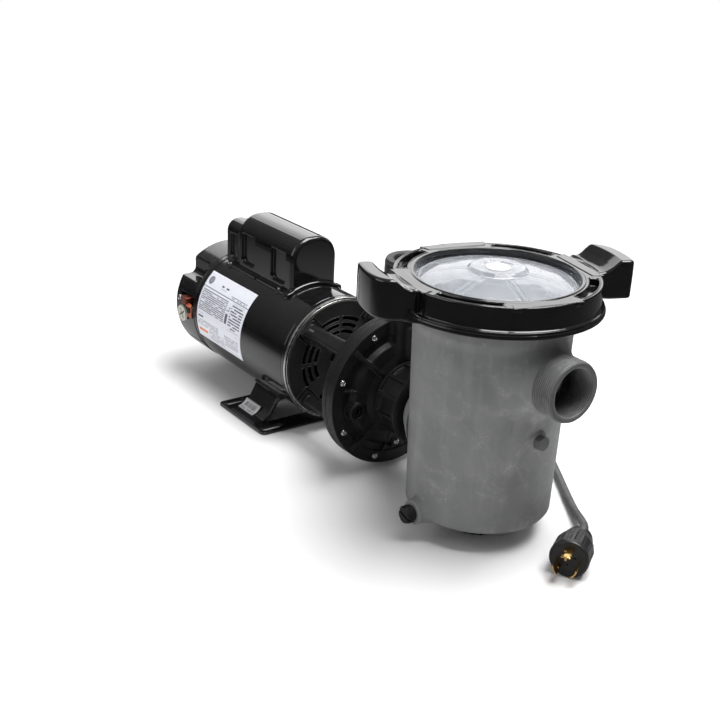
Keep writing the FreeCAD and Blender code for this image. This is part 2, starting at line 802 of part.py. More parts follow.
def turned_y(body, points):
    """A ring about the body's Y axis from (distance, radius) corners."""
    sketch = sketch_on(body, "XY_Plane")
    outline(sketch, [(radius, along) for along, radius in points])
    return spin(body, sketch, "V")


def plug_frame(label):
    """A body whose X axis is the plug's axis, with its origin at the centre of the plug's face."""
    body = new_body(label, x=D.plug_face_x, y=D.plug_face_y, z=D.plug_radius + 0.4)
    body.Placement.Rotation = FreeCAD.Rotation(FreeCAD.Vector(0, 0, 1), D.plug_heading.value)
    body.setExpression("Placement.Rotation.Angle", D.plug_heading.text)
    return body


def plug_body():
    body = plug_frame("plug_body")
    turned(body, [
        (0, 0), (0, D.plug_radius - 1.4), (-1.4, D.plug_radius), (-22, D.plug_radius),
        (-24, D.plug_radius - 1.5), (-D.plug_length, D.plug_radius - 4), (-D.plug_length, 0),
    ])
    groove = sketch_on(body, "YZ_Plane", w=-23)
    rounded_box(groove, D.plug_radius - 1, D.plug_radius + 3, -1.6, 1.6, 0.6)
    cut = pocket(body, groove, as_size(16), back=True)
    around(body, [cut], "X", 12)


def plug_cap():
    body = plug_frame("plug_cap")
    rear = -D.plug_length - 14
    bore = D.cord_radius + 0.15
    turned(body, [
        (rear, bore), (rear, 9), (rear + 3, 12.5), (-D.plug_length - 0.1, 14),
        (-D.plug_length - 0.1, bore),
    ])


def plug_blades():
    """Three curved locking blades; one has an inward foot."""
    body = plug_frame("plug_blades")
    sketch = sketch_on(body, "XZ_Plane")
    box_outline(sketch, AXIAL_FIT, 16, 10.4, 12)
    blade = spin(body, sketch, "H", angle=50)
    around(body, [blade], "X", 3)
    foot = sketch_on(body, "XZ_Plane")
    box_outline(foot, 8, 16, 7.5, 10.6)
    spin(body, foot, "H", angle=12)


# --- pump end ------------------------------------------------------------------------------------

def seal_plate():
    """The rear half of the pump: a disc with the seal housing and four legs to the motor."""
    body = shaft_body("seal_plate")
    turned(body, [
        (66, D.shaft_radius + 2), (66, 24), (D.plate_rear, 24), (D.plate_rear, D.flange_radius - 1),
        (D.plate_rear + 1, D.flange_radius), (D.plate_front - 0.6, D.flange_radius),
        (D.plate_front, D.flange_radius - 0.6), (D.plate_front, 17.5), (72, 17.5), (72, 16),
        (67, 16), (67, D.shaft_radius + 2),
    ])
    front = D.shell_front + D.bracket_lip + D.grille_thickness + 2 * AXIAL_FIT
    narrow = sketch_on(body, "YZ_Plane", w=front, turn=45)
    rounded_box(narrow, D.leg_circle - 5.5, D.leg_circle + 5.5, -7, 7, 4)
    wide = sketch_on(body, "YZ_Plane", w=D.plate_rear + 1, turn=45)
    rounded_box(wide, D.leg_circle - 7, D.leg_circle + 7, -10, 10, 5)
    leg = body.newObject("PartDesign::AdditiveLoft", "seal_plate_leg")
    leg.Profile = narrow
    leg.Sections = [wide]
    finish_feature(body, leg)
    toe_sketch = sketch_on(body, "YZ_Plane", w=front, turn=45)
    rounded_box(toe_sketch, D.leg_circle - 8, D.leg_circle + 8, -11, 11, 3)
    toe = pad(body, toe_sketch, as_size(5))
    around(body, [leg, toe], "X", QUARTERS)
    bolt_holes(body, front - 1, as_size(20), D.bolt_radius + 0.1)
    screw_holes(body, D.plate_front - 6, 8)


SCREWS = 7
SCREW_SWEEP = 270
PAD_HEIGHT = 6.6


def screw_holes(body, start, length):
    """Seven holes on the flange's screw circle, none under the discharge duct."""
    angle = math.radians(D.screw_turn.value)
    hole = rod(body, "YZ_Plane", D.screw_radius + 0.1, length, u=D.screw_circle * math.cos(angle),
               v=D.screw_circle * math.sin(angle), w=start, cut=True)
    around(body, [hole], "X", SCREWS, SCREW_SWEEP)


DRAIN_SPOT = (-56.2, -9.0)


def volute():
    """The front half of the pump: scroll, threaded suction neck and upright discharge port."""
    body = shaft_body("volute")
    rear = D.plate_front + AXIAL_FIT
    top = D.discharge_top - D.shaft_height
    duct = sketch_on(body, "XY_Plane", w=40)
    rounded_box(duct, rear + 0.4, rear + 26, D.discharge_y - 27, D.discharge_y + 27, 7)
    pad(body, duct, top - 90)
    rod(body, "XY_Plane", 26.5, 24, u=D.discharge_x, v=D.discharge_y, w=top - 58)
    rod(body, "XY_Plane", D.pipe_radius, 34, u=D.discharge_x, v=D.discharge_y, w=top - 34)
    turned(body, [
        (rear, 0), (rear, D.flange_radius), (D.flange_front - 0.6, D.flange_radius),
        (D.flange_front, D.flange_radius - 0.6), (D.flange_front, 59), (D.flange_front + 5, 56),
        (D.flange_front + 8, 44), (D.flange_front + 14, D.neck_radius + 3),
        (D.flange_front + 14, D.neck_radius), (D.neck_front, D.neck_radius), (D.neck_front, 0),
    ])
    rib = sketch_on(body, "XZ_Plane", turn=45, about=(1, 0, 0))
    outline(rib, [
        (D.flange_front - 1, 38), (D.flange_front - 1, 77), (D.flange_front + 1, 77),
        (D.flange_front + 9, 50), (D.flange_front + 12, 38),
    ])
    around(body, [pad(body, rib, as_size(4.2), both=True)], "X", QUARTERS)
    boss_y, boss_z = DRAIN_SPOT
    rod(body, "YZ_Plane", 9.8, 10, u=boss_y, v=boss_z, w=D.flange_front - 1)
    boss_pad = sketch_on(body, "YZ_Plane", w=D.flange_front - 1)
    rounded_box(boss_pad, -7, 11, -64, -51, 3)
    pad(body, boss_pad, as_size(PAD_HEIGHT + 1))
    cavity = sketch_on(body, "XZ_Plane")
    outline(cavity, [
        (rear, 0), (rear, 55), (rear + 11, 55), (rear + 15, 30), (rear + 18, 22),
        (D.neck_front - 1, 22), (D.neck_front - 1, 0),
    ])
    spin(body, cavity, "H", cut=True)
    rod(body, "YZ_Plane", 22, 8, w=D.neck_front - 4, cut=True)
    rod(body, "XY_Plane", 20.4, 52, u=D.discharge_x, v=D.discharge_y, w=top - 52, cut=True)
    rod(body, "XY_Plane", 9, 60, u=D.discharge_x + 5, v=D.discharge_y, w=top - 110, cut=True)
    rod(body, "YZ_Plane", 4, 18, u=boss_y, v=boss_z, w=D.flange_front - 5, cut=True)
    rod(body, "YZ_Plane", 6.6, 6, u=boss_y, v=boss_z, w=D.flange_front + 4, cut=True)
    groove = sketch_on(body, "XZ_Plane")
    box_outline(groove, rear - 1, rear + 2.6, 62, 66)
    spin(body, groove, "H", cut=True)
    screw_holes(body, rear - 1, 16)
    rod(body, "YZ_Plane", D.screw_radius + 0.1, PAD_HEIGHT + 2, u=-1, v=-57, w=D.flange_front - 1,
        cut=True)


def volute_gasket():
    body = shaft_body("volute_gasket")
    tube(body, D.plate_front + 0.1, D.plate_front + 2.5, 62.1, 65.9)


def volute_screws():
    """Seven pan-head screws through the flange, and one on the pad under the neck."""
    body = shaft_body("volute_screws")
    angle = math.radians(D.screw_turn.value)
    y, z = D.screw_circle * math.cos(angle), D.screw_circle * math.sin(angle)
    seat = D.flange_front + AXIAL_FIT
    shank = rod(body, "YZ_Plane", D.screw_radius, seat - D.plate_front + 4, u=y, v=z,
                w=D.plate_front - 4)
    around(body, [shank], "X", SCREWS, SCREW_SWEEP)
    head = rod(body, "YZ_Plane", 3.6, 2.6, u=y, v=z, w=seat, top=2.8)
    around(body, [head], "X", SCREWS, SCREW_SWEEP)
    rod(body, "YZ_Plane", D.screw_radius, PAD_HEIGHT + 0.6, u=-1, v=-57, w=seat - 0.5)
    rod(body, "YZ_Plane", 3.6, 2.6, u=-1, v=-57, w=seat + PAD_HEIGHT, top=2.8)


def volute_drain_plug():
    body = new_body("volute_drain_plug", y=DRAIN_SPOT[0], z=D.shaft_height + DRAIN_SPOT[1])
    rod(body, "YZ_Plane", 3.95, 5, w=D.flange_front - 0.2)
    rod(body, "YZ_Plane", 6.2, 3, w=D.flange_front + 4.05)
    socket = sketch_on(body, "YZ_Plane", w=D.flange_front + 5)
    polygon(socket, 4, 6)
    pocket(body, socket, as_size(4), back=True)


def impeller():
    """A closed impeller: two shrouds, a hub and curved vanes between them."""
    body = shaft_body("impeller")
    rear = D.plate_front + 1
    bore = D.shaft_radius - 1.5
    turned(body, [
        (rear, bore), (rear, 51), (rear + 1.8, 51), (rear + 2.2, 13), (rear + 10, 11),
        (rear + 10, bore),
    ])
    shroud = sketch_on(body, "XZ_Plane")
    outline(shroud, [
        (rear + 8, 51), (rear + 9.6, 51), (rear + 12.4, 30), (rear + 16, 20.5), (rear + 16, 18.5),
        (rear + 10.8, 28),
    ])
    vane = sketch_on(body, "YZ_Plane", w=rear + 1)
    outline(vane, [(12, 4), (50, 2), (50, 4.4), (13, 6.4)], {0: 60, 2: -58})
    blade = pad(body, vane, as_size(7.6))
    around(body, [blade], "X", 6)
    spin(body, shroud, "H")


def shaft_seal():
    """The mechanical seal: a ceramic seat, a carbon ring that turns with the shaft, and a spring."""
    tube(shaft_body("seal_seat"), 67.1, 72, D.shaft_radius + 1, 15.95)
    tube(shaft_body("seal_rotary"), 72.05, 77.2, D.shaft_radius, 13)
    spring = shaft_body("seal_spring")
    nose = D.shaft_radius + 1
    step = 2.6
    sketch = sketch_on(spring, "XZ_Plane")
    for coil in range(4):
        circle(sketch, 1.0, x=78.6 + step * coil, y=nose + 1.8)
    spin(spring, sketch, "H")


def slinger():
    body = shaft_body("slinger")
    turned(body, [(50, 8.5), (50, 13), (52, 13), (52, 23), (53.6, 23), (53.6, 13), (57, 13),
                  (57, 8.5)])


def union_nut():
    """The ribbed union nut that draws the trap's neck against the volute."""
    body = shaft_body("suction_union_nut")
    rear, front = D.nut_rear, D.nut_front
    outer = D.nut_radius
    turned(body, [
        (rear, D.neck_radius + 0.1), (rear, outer), (rear + 1.5, outer + 1.5),
        (rear + 4, outer + 1.5), (rear + 4.5, outer - 1), (front - 6, outer - 1),
        (front - 5, outer + 1.5), (front - 2, outer + 1.5), (front, outer - 1), (front, 28),
        (front - 5, 28), (front - 5, 36.2), (rear + 26, 36.2), (rear + 26, D.neck_radius + 0.1),
    ])
    rib = sketch_on(body, "YZ_Plane", w=rear + 4)
    rounded_box(rib, outer - 3, outer + 2.4, -2.2, 2.2, 1)
    lug = pad(body, rib, front - rear - 9)
    around(body, [lug], "X", 14)


def union_seal():
    body = shaft_body("union_seal")
    tube(body, D.neck_front + AXIAL_FIT, D.neck_front + 1.2, 25, 31)


# --- trap ----------------------------------------------------------------------------------------

def trap_body():
    """The strainer pot: barrel, rim, suction inlet, outlet neck and drain bosses."""
    body = trap_body_at("trap_body")
    low, high = D.barrel_low_radius, D.barrel_top_radius
    base = D.barrel_bottom
    corner = 3
    turned(body, [
        (0, base), (low - corner, base), (low + 0.3, base + corner), (high, D.barrel_top),
        (high + 2.2, D.barrel_top + 1.5), (high + 2.2, D.barrel_top + 15),
        (D.rim_radius, D.barrel_top + 23), (D.rim_radius, D.rim_top), (0, D.rim_top),
    ], "V", {1: corner + 0.3})
    neck = D.trap_x - D.neck_front - 1.3
    rod(body, "YZ_Plane", 27.4, 40, v=D.shaft_height, w=-neck)
    rod(body, "YZ_Plane", 35.8, 5.4, v=D.shaft_height, w=-neck)
    rod(body, "YZ_Plane", 36, 10, v=D.shaft_height, w=-neck + 20, top=44)
    inlet = D.inlet_face - D.trap_x
    rod(body, "YZ_Plane", D.pipe_radius, inlet - 50, v=D.inlet_height, w=50)
    rod(body, "YZ_Plane", 42, 24, v=D.inlet_height, w=62, top=31.5)
    rod(body, "XZ_Plane", 12, 26, u=-1.3, v=D.drain_height + 1, w=58.5)
    rod(body, "YZ_Plane", 10, 16, v=D.gauge_height, w=62)
    inside = sketch_on(body, "XZ_Plane")
    wall = D.barrel_wall
    outline(inside, [
        (0, base + 5.4), (low - wall - 10, base + 5.4), (low - wall, base + 16),
        (high - wall, D.barrel_top + 16), (75, D.barrel_top + 16), (75, D.rim_top + 2),
        (0, D.rim_top + 2),
    ])
    spin(body, inside, "V", cut=True)
    groove = sketch_on(body, "XZ_Plane")
    box_outline(groove, 80.7, 86.3, D.rim_top - 3, D.rim_top + 1)
    spin(body, groove, "V", cut=True)
    rod(body, "YZ_Plane", 22, 50, v=D.shaft_height, w=-neck - 1, cut=True)
    rod(body, "YZ_Plane", D.pipe_bore, inlet - 55, v=D.inlet_height, w=56, cut=True)
    rod(body, "XZ_Plane", 5, 30, u=-1.3, v=D.drain_height, w=57, cut=True)
    rod(body, "YZ_Plane", 3.5, 20, v=D.gauge_height, w=60, cut=True)


def trap_foot():
    """The support ring under the pot."""
    body = trap_body_at("trap_foot")
    washer(body, 0, D.barrel_bottom - AXIAL_FIT, 24, 33)


def lock_ring():
    """The ring that clamps the lid, with two scooped handles and four arc slots."""
    body = trap_body_at("lock_ring")
    body.Placement.Rotation = FreeCAD.Rotation(FreeCAD.Vector(0, 0, 1), D.ring_turn.value)
    body.setExpression("Placement.Rotation.Angle", D.ring_turn.text)
    top, bottom = D.ring_top, D.ring_bottom
    outer = D.handle_radius
    profile = sketch_on(body, "YZ_Plane")
    outline(profile, [
        (96, bottom + 2.5), (outer - 2, bottom + 2.5), (outer, bottom + 5), (outer + 1, 258),
        (outer, D.handle_top - 2.5), (outer - 2.5, D.handle_top), (117, D.handle_top - 0.8),
        (102, top - 1), (96, top - 1),
    ], {2: 120, 3: 120, 4: 2.5, 6: -26})
    grip = spin(body, profile, "V", angle=D.handle_spread.value)
    corners = [round_handle_end(body, -1, 22), round_handle_end(body, 1, 4)]
    around(body, [grip] + corners, "Z", 2)
    turned(body, [
        (D.ring_opening, top - 9.4), (D.ring_opening, top - 1.2), (D.ring_opening + 1.2, top),
        (D.ring_radius - 1.5, top), (D.ring_radius, top - 1.5), (D.ring_radius, bottom + 6.5),
        (D.ring_radius + 1.5, bottom + 5), (D.ring_flange_radius - 1, bottom + 5),
        (D.ring_flange_radius, bottom + 4), (D.ring_flange_radius, bottom),
        (D.rim_radius + 0.2, bottom), (D.rim_radius + 0.2, top - 9.4),
    ], "V")
    raised = sketch_on(body, "XZ_Plane")
    box_outline(raised, 83.5, 96, top - 2, top + 0.8)
    plate = spin(body, raised, "V", angle=44)
    around(body, [plate], "Z", QUARTERS)
    slot = sketch_on(body, "XZ_Plane", turn=45, about=(0, 1, 0))
    box_outline(slot, 86, 94.5, top - 7, top + 3)
    cut = spin(body, slot, "V", angle=40, cut=True)
    around(body, [cut], "Z", QUARTERS)


def round_handle_end(body, side, rounding):
    """Cut one upright corner of the handle to a round, seen from above."""
    outer = D.handle_radius + 1
    end = math.radians(D.handle_spread.value / 2)
    start = end - rounding / outer.value
    spots = [
        (outer - rounding, end), (outer - rounding, end * 1.3), (outer + 4, end * 1.3),
        (outer + 4, start), (outer, start),
    ]
    plan = sketch_on(body, "XY_Plane", w=D.ring_bottom - 5)
    outline(plan, [(r * (math.sin(a) * side), r * math.cos(a)) for r, a in spots],
            {4: -rounding * side})
    return pocket(body, plan, as_size(60), back=True)


def trap_lid():
    """The clear domed lid with its flange and central hub."""
    body = trap_body_at("trap_lid")
    seat = D.rim_top + 0.1
    edge = D.ring_opening - 0.4
    turned(body, [
        (75.5, seat), (92, seat), (92, D.ring_top - 9.5), (edge, D.ring_top - 9.5), (27, 269.4),
        (25, 272.4), (14, 272.4), (13, 271.2), (0, 271.2), (0, 266.6), (24, 265.2),
    ], "V", {3: 160, 10: -155})


def lid_badge():
    body = trap_body_at("lid_badge")
    washer(body, 271.25, 271.6, 0, 12)


def lid_seal():
    body = trap_body_at("lid_seal")
    washer(body, D.rim_top - 2.9, D.rim_top + 0.05, 80.8, 86.2)


def strainer_basket():
    """The slotted basket, with a window that faces the inlet."""
    body = trap_body_at("strainer_basket")
    rim = D.barrel_top + 16.1
    turned(body, [
        (0, 42), (60, 42), (67, rim - 4), (67, rim), (74.5, rim), (74.5, rim + 3), (65, rim + 3),
        (65, rim - 4), (58, 44), (0, 44),
    ], "V")
    slots = sketch_on(body, "XZ_Plane", w=75)
    for row in range(5):
        rounded_box(slots, -1.8, 1.8, 52 + 35 * row, 78 + 35 * row, 1.7)
    cut = pocket(body, slots, as_size(30), back=False)
    around(body, [cut], "Z", 24)
    rod(body, "YZ_Plane", 26, 30, v=D.inlet_height, w=50, cut=True)
    ear = sketch_on(body, "XZ_Plane", w=-68)
    rounded_box(ear, -4, 4, rim + 1, rim + 8.5, 2)
    lug = pad(body, ear, as_size(4.4))
    mirrored(body, [lug], "XZ_Plane")
    pivot = sketch_on(body, "XZ_Plane", w=-67)
    circle(pivot, 1.6, y=D.barrel_top + 22)
    pocket(body, pivot, as_size(134), back=True)


def basket_handle():
    """The wire bail that lies folded on the basket's rim."""
    body = new_body("basket_handle", x=D.trap_x, z=D.barrel_top + 22)
    profile = sketch_on(body, "XZ_Plane", turn=90, about=(0, 1, 0))
    circle(profile, 1.5, x=62, y=0)
    bail = body.newObject("PartDesign::Revolution", "bail")
    bail.Profile = profile
    bail.ReferenceAxis = (profile, ["V_Axis"])
    bail.Angle = 180
    finish_feature(body, bail)
    for start in (60.8, -66.2):
        pivot = sketch_on(body, "XZ_Plane", w=start)
        circle(pivot, 1.5)
        pad(body, pivot, as_size(5.4))


def drain_plug():
    """The slotted hexagonal drain plug low on the pot's side, and its washer."""
    origin_x, origin_z = D.trap_x - 1.3, D.drain_height
    body = new_body("trap_drain_plug", x=origin_x, z=origin_z)
    rod(body, "XZ_Plane", 4.95, 20, w=68)
    head = sketch_on(body, "XZ_Plane", w=86.2)
    polygon(head, 6, 16.5)
    pad(body, head, as_size(8))
    slot = sketch_on(body, "XZ_Plane", w=94.3, turn=35)
    box_outline(slot, -12, 12, -1.1, 1.1)
    pocket(body, slot, as_size(3))
    seal = new_body("trap_drain_seal", x=origin_x, z=origin_z)
    rod(seal, "XZ_Plane", 8, 1.5, w=84.6)
    rod(seal, "XZ_Plane", 5, 3, w=84, cut=True)


def gauge_plug():
    body = new_body("gauge_plug", x=D.trap_x, z=D.gauge_height)
    rod(body, "YZ_Plane", 3.45, 12, w=67)
    head = sketch_on(body, "YZ_Plane", w=78.1, turn=30)
    polygon(head, 6, 14)
    pad(body, head, as_size(6))


def check_document():
    """Stop if any object failed to compute, or any sub-part isn't valid closed solids."""
    doc.recompute()
    for item in doc.Objects:
        if "Invalid" in item.State or "Error" in item.State:
            raise RuntimeError("%s failed: %s" % (item.Name, item.State))
    for node in NODES:
        shape = node.Shape
        if shape.isNull() or not shape.isValid() or not shape.Solids:
            raise RuntimeError("%s has no valid solid" % node.Label)


def build():
    motor_shell()
    end_bracket("motor_front_bracket", D.shell_front, 1, 16)
    end_bracket("motor_rear_bracket", D.shell_rear, -1, 16)
    front_grille()
    bearing("front_bearing", D.shell_front - 16)
    bearing("rear_bearing", D.shell_rear + 4)
    motor_shaft()
    rotor_core()
    stator_core()
    stator_windings()
    cooling_fan()
    centrifugal_switch()
    terminal_board()
    thermal_protector()
    through_bolts()
    rear_cover()
    capacitor_cover()
    capacitor_cover_screws()
    capacitor()
    nameplate()
    bonding_lug()
    bonding_screw()
    selector_dial()
    motor_foot()
    foot_cushions()
    power_cord()
    cord_grip()
    plug_body()
    plug_cap()
    plug_blades()
    seal_plate()
    volute()
    volute_gasket()
    volute_screws()
    volute_drain_plug()
    impeller()
    shaft_seal()
    slinger()
    union_nut()
    union_seal()
    trap_body()
    trap_foot()
    lock_ring()
    trap_lid()
    lid_badge()
    lid_seal()
    strainer_basket()
    basket_handle()
    drain_plug()
    gauge_plug()


build()
check_document()
os.makedirs("parts", exist_ok=True)
for node in NODES:
    node.Shape.exportStep(os.path.join("parts", node.Label + ".step"))
    box = node.Shape.optimalBoundingBox(False)
    size = (box.XMin, box.XMax, box.YMin, box.YMax, box.ZMin, box.ZMax)
    print("%-24s %d %9.0f" % (node.Label, len(node.Shape.Solids), node.Shape.Volume),
          " ".join("%7.1f" % number for number in size))
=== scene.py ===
"""The looks of the pool pump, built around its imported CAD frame.

Lengths are in millimetres until a mesh is made.
"""

import math

import bmesh
import bpy
import numpy as np
import openvdb
from mathutils import Matrix, Vector


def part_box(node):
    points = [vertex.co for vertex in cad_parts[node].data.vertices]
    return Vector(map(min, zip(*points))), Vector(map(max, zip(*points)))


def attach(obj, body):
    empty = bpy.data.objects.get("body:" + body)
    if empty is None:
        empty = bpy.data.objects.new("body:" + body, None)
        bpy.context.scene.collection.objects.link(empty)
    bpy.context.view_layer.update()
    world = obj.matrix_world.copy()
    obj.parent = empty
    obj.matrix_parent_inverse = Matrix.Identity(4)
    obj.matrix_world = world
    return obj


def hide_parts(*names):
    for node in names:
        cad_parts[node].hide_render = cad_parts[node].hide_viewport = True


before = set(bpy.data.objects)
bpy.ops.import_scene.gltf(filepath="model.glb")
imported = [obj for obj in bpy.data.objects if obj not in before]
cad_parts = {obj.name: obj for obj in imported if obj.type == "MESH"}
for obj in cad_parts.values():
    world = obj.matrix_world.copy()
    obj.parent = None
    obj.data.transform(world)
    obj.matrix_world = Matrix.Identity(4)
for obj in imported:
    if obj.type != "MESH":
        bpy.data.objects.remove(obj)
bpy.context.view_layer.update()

MM = 0.001
COARSE = 1.0


def cad_box(node):
    low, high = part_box(node)
    return np.array(low) / MM, np.array(high) / MM


# --- key places, taken from the CAD frame --------------------------------------------------------

shell_low, shell_high = cad_box("motor_shell")
lid_low, lid_high = cad_box("trap_lid")
trap_low, trap_high = cad_box("trap_body")
ring_low, ring_high = cad_box("lock_ring")
cover_low, cover_high = cad_box("capacitor_cover")
rear_low, rear_high = cad_box("rear_cover")
foot_low, foot_high = cad_box("motor_foot")
AXIS = (shell_low[2] + shell_high[2]) / 2
SHELL_R = (shell_high[1] - shell_low[1]) / 2
TRAP_X = (lid_low[0] + lid_high[0]) / 2
RING_TURN = math.radians(-13)
INLET_Z = 184.7
PIPE_PITCH = 2.21


# --- signed distance fields ----------------------------------------------------------------------

def corner_path(corners):
    """A closed polyline from (x, y) or (x, y, radius) corners, with the corners filleted."""
    path = []
    count = len(corners)
    for n, corner in enumerate(corners):
        point = np.array(corner[:2], float)
        radius = corner[2] if len(corner) > 2 else 0
        if radius <= 0:
            path.append(point)
            continue
        before = np.array(corners[n - 1][:2], float) - point
        after = np.array(corners[(n + 1) % count][:2], float) - point
        reach = 0.49 * min(np.hypot(*before), np.hypot(*after))
        before /= np.hypot(*before)
        after /= np.hypot(*after)
        if np.hypot(*(before + after)) < 1e-3:
            path.append(point)
            continue
        half = math.acos(max(-1, min(1, float(before @ after)))) / 2
        touch = min(radius / math.tan(half), reach)
        radius = touch * math.tan(half)
        bisector = (before + after) / np.hypot(*(before + after))
        centre = point + bisector * radius / math.sin(half)
        first = point + before * touch - centre
        last = point + after * touch - centre
        start = math.atan2(first[1], first[0])
        turn = math.atan2(last[1], last[0]) - start
        turn = (turn + math.pi) % (2 * math.pi) - math.pi
        steps = max(2, int(abs(turn) / math.radians(9)))
        for k in range(steps + 1):
            angle = start + turn * k / steps
            path.append(centre + radius * np.array((math.cos(angle), math.sin(angle))))
    return np.array(path)


class Outline:
    """Signed distance to a closed outline, read from a fine table; negative inside."""

    def __init__(self, corners, cell=0.35, margin=16):
        path = corner_path(corners)
        self.cell = cell
        self.low = path.min(0) - margin
        size = np.ceil((path.max(0) + margin - self.low) / cell).astype(int) + 1
        u = self.low[0] + cell * np.arange(size[0])[:, None]
        v = self.low[1] + cell * np.arange(size[1])[None, :]
        best = np.full((size[0], size[1]), 1e9)
        inside = np.zeros((size[0], size[1]), bool)
        for (ax, ay), (bx, by) in zip(path, np.roll(path, -1, 0)):
            ex, ey = bx - ax, by - ay
            length = ex * ex + ey * ey
            if length < 1e-12:
                continue
            share = np.clip(((u - ax) * ex + (v - ay) * ey) / length, 0, 1)
            best = np.minimum(best, (u - ax - share * ex) ** 2 + (v - ay - share * ey) ** 2)
            if abs(ey) > 1e-12:
                crosses = (v >= min(ay, by)) & (v < max(ay, by)) & (u < ax + (v - ay) * ex / ey)
                inside ^= crosses
        self.table = (np.sqrt(best) * np.where(inside, -1, 1)).astype(np.float32)

    def __call__(self, u, v):
        u, v = np.broadcast_arrays(u, v)
        rows, cols = self.table.shape
        a = (u - self.low[0]) / self.cell
        b = (v - self.low[1]) / self.cell
        ca = np.clip(a, 0, rows - 1.001)
        cb = np.clip(b, 0, cols - 1.001)
        i = ca.astype(np.int32)
        j = cb.astype(np.int32)
        fa = ca - i
        fb = cb - j
        t = self.table
        value = ((t[i, j] * (1 - fa) + t[i + 1, j] * fa) * (1 - fb)
                 + (t[i, j + 1] * (1 - fa) + t[i + 1, j + 1] * fa) * fb)
        return value + np.hypot(a - ca, b - cb) * self.cell


def smooth_min(a, b, k):
    """The smaller of two fields with a round join; k is the width of the join, a number or a field."""
    k = np.maximum(k, 1e-6)
    h = np.maximum(k - np.abs(a - b), 0) / k
    return np.minimum(a, b) - h * h * k / 4


def smooth_max(a, b, k):
    return -smooth_min(-a, -b, k)


def join(*fields, k=0):
    def field(x, y, z):
        value = fields[0](x, y, z)
        for other in fields[1:]:
            value = smooth_min(value, other(x, y, z), k)
        return value
    return field


def cut(body, *tools, k=0):
    def field(x, y, z):
        value = body(x, y, z)
        for tool in tools:
            value = smooth_max(value, -tool(x, y, z), k)
        return value
    return field


def common(a, b, k=0):
    return lambda x, y, z: smooth_max(a(x, y, z), b(x, y, z), k)


def lathe_x(corners, y0=0.0, z0=None, **options):
    """A solid turned about a line along X, from (x, radius) corners."""
    shape = Outline(corners, **options)
    height = AXIS if z0 is None else z0
    return lambda x, y, z: shape(x, np.hypot(y - y0, z - height))


def lathe_z(corners, x0, y0=0.0, **options):
    shape = Outline(corners, **options)
    return lambda x, y, z: shape(np.hypot(x - x0, y - y0), z)


def lathe_y(corners, x0, z0, **options):
    """A solid turned about a line along Y, from (distance along -Y, radius) corners."""
    shape = Outline(corners, **options)
    return lambda x, y, z: shape(-y, np.hypot(x - x0, z - z0))


def rod_x(x0, x1, radius, y0, z0, edge=0.5):
    return lambda x, y, z: slab(np.hypot(y - y0, z - z0) - radius, x, x0, x1, edge)


def rod_y(y0, y1, radius, x0, z0, edge=0.5):
    return lambda x, y, z: slab(np.hypot(x - x0, z - z0) - radius, y, y0, y1, edge)


def rod_z(z0, z1, radius, x0, y0, edge=0.5):
    return lambda x, y, z: slab(np.hypot(x - x0, y - y0) - radius, z, z0, z1, edge)


def slab(flat, w, w0, w1, edge):
    """An outline's distance, held between two planes, with its edges rounded."""
    depth = np.abs(w - (w0 + w1) / 2) - abs(w1 - w0) / 2
    a = flat + edge
    b = depth + edge
    return np.minimum(np.maximum(a, b), 0) + np.hypot(np.maximum(a, 0), np.maximum(b, 0)) - edge


def prism(plane, corners, w0, w1, edge=0.6, **options):
    """An outline pushed straight through between two planes; plane is "xy", "xz" or "yz"."""
    shape = Outline(corners, **options)
    if plane == "xy":
        return lambda x, y, z: slab(shape(x, y), z, w0, w1, edge)
    if plane == "xz":
        return lambda x, y, z: slab(shape(x, z), y, w0, w1, edge)
    return lambda x, y, z: slab(shape(y, z), x, w0, w1, edge)


def box(x0, x1, y0, y1, z0, z1, edge=0.6):
    centre = ((x0 + x1) / 2, (y0 + y1) / 2, (z0 + z1) / 2)
    half = ((x1 - x0) / 2 - edge, (y1 - y0) / 2 - edge, (z1 - z0) / 2 - edge)

    def field(x, y, z):
        a = np.abs(x - centre[0]) - half[0]
        b = np.abs(y - centre[1]) - half[1]
        c = np.abs(z - centre[2]) - half[2]
        outside = np.sqrt(np.maximum(a, 0) ** 2 + np.maximum(b, 0) ** 2 + np.maximum(c, 0) ** 2)
        return outside + np.minimum(np.maximum(np.maximum(a, b), c), 0) - edge
    return field


def around_x(field, count, turn=0.0, y0=0.0, z0=None):
    """Repeat a field about the shaft. The field sees (x, radius, sideways)."""
    height = AXIS if z0 is None else z0
    sector = 2 * math.pi / count

    def repeated(x, y, z):
        angle = np.arctan2(z - height, y - y0) - turn
        angle = (angle + sector / 2) % sector - sector / 2
        radius = np.hypot(y - y0, z - height)
        return field(x, radius * np.cos(angle), radius * np.sin(angle))
    return repeated


def around_z(field, count, x0, turn=0.0):
    """Repeat a field about an upright line. The field sees (radius, sideways, z)."""
    sector = 2 * math.pi / count

    def repeated(x, y, z):
        angle = np.arctan2(y, x - x0) - turn
        angle = (angle + sector / 2) % sector - sector / 2
        radius = np.hypot(x - x0, y)
        return field(radius * np.cos(angle), radius * np.sin(angle), z)
    return repeated


def mirrored_y(field):
    return lambda x, y, z: field(x, np.abs(y), z)


# --- from field to mesh --------------------------------------------------------------------------

BLOCK = 8


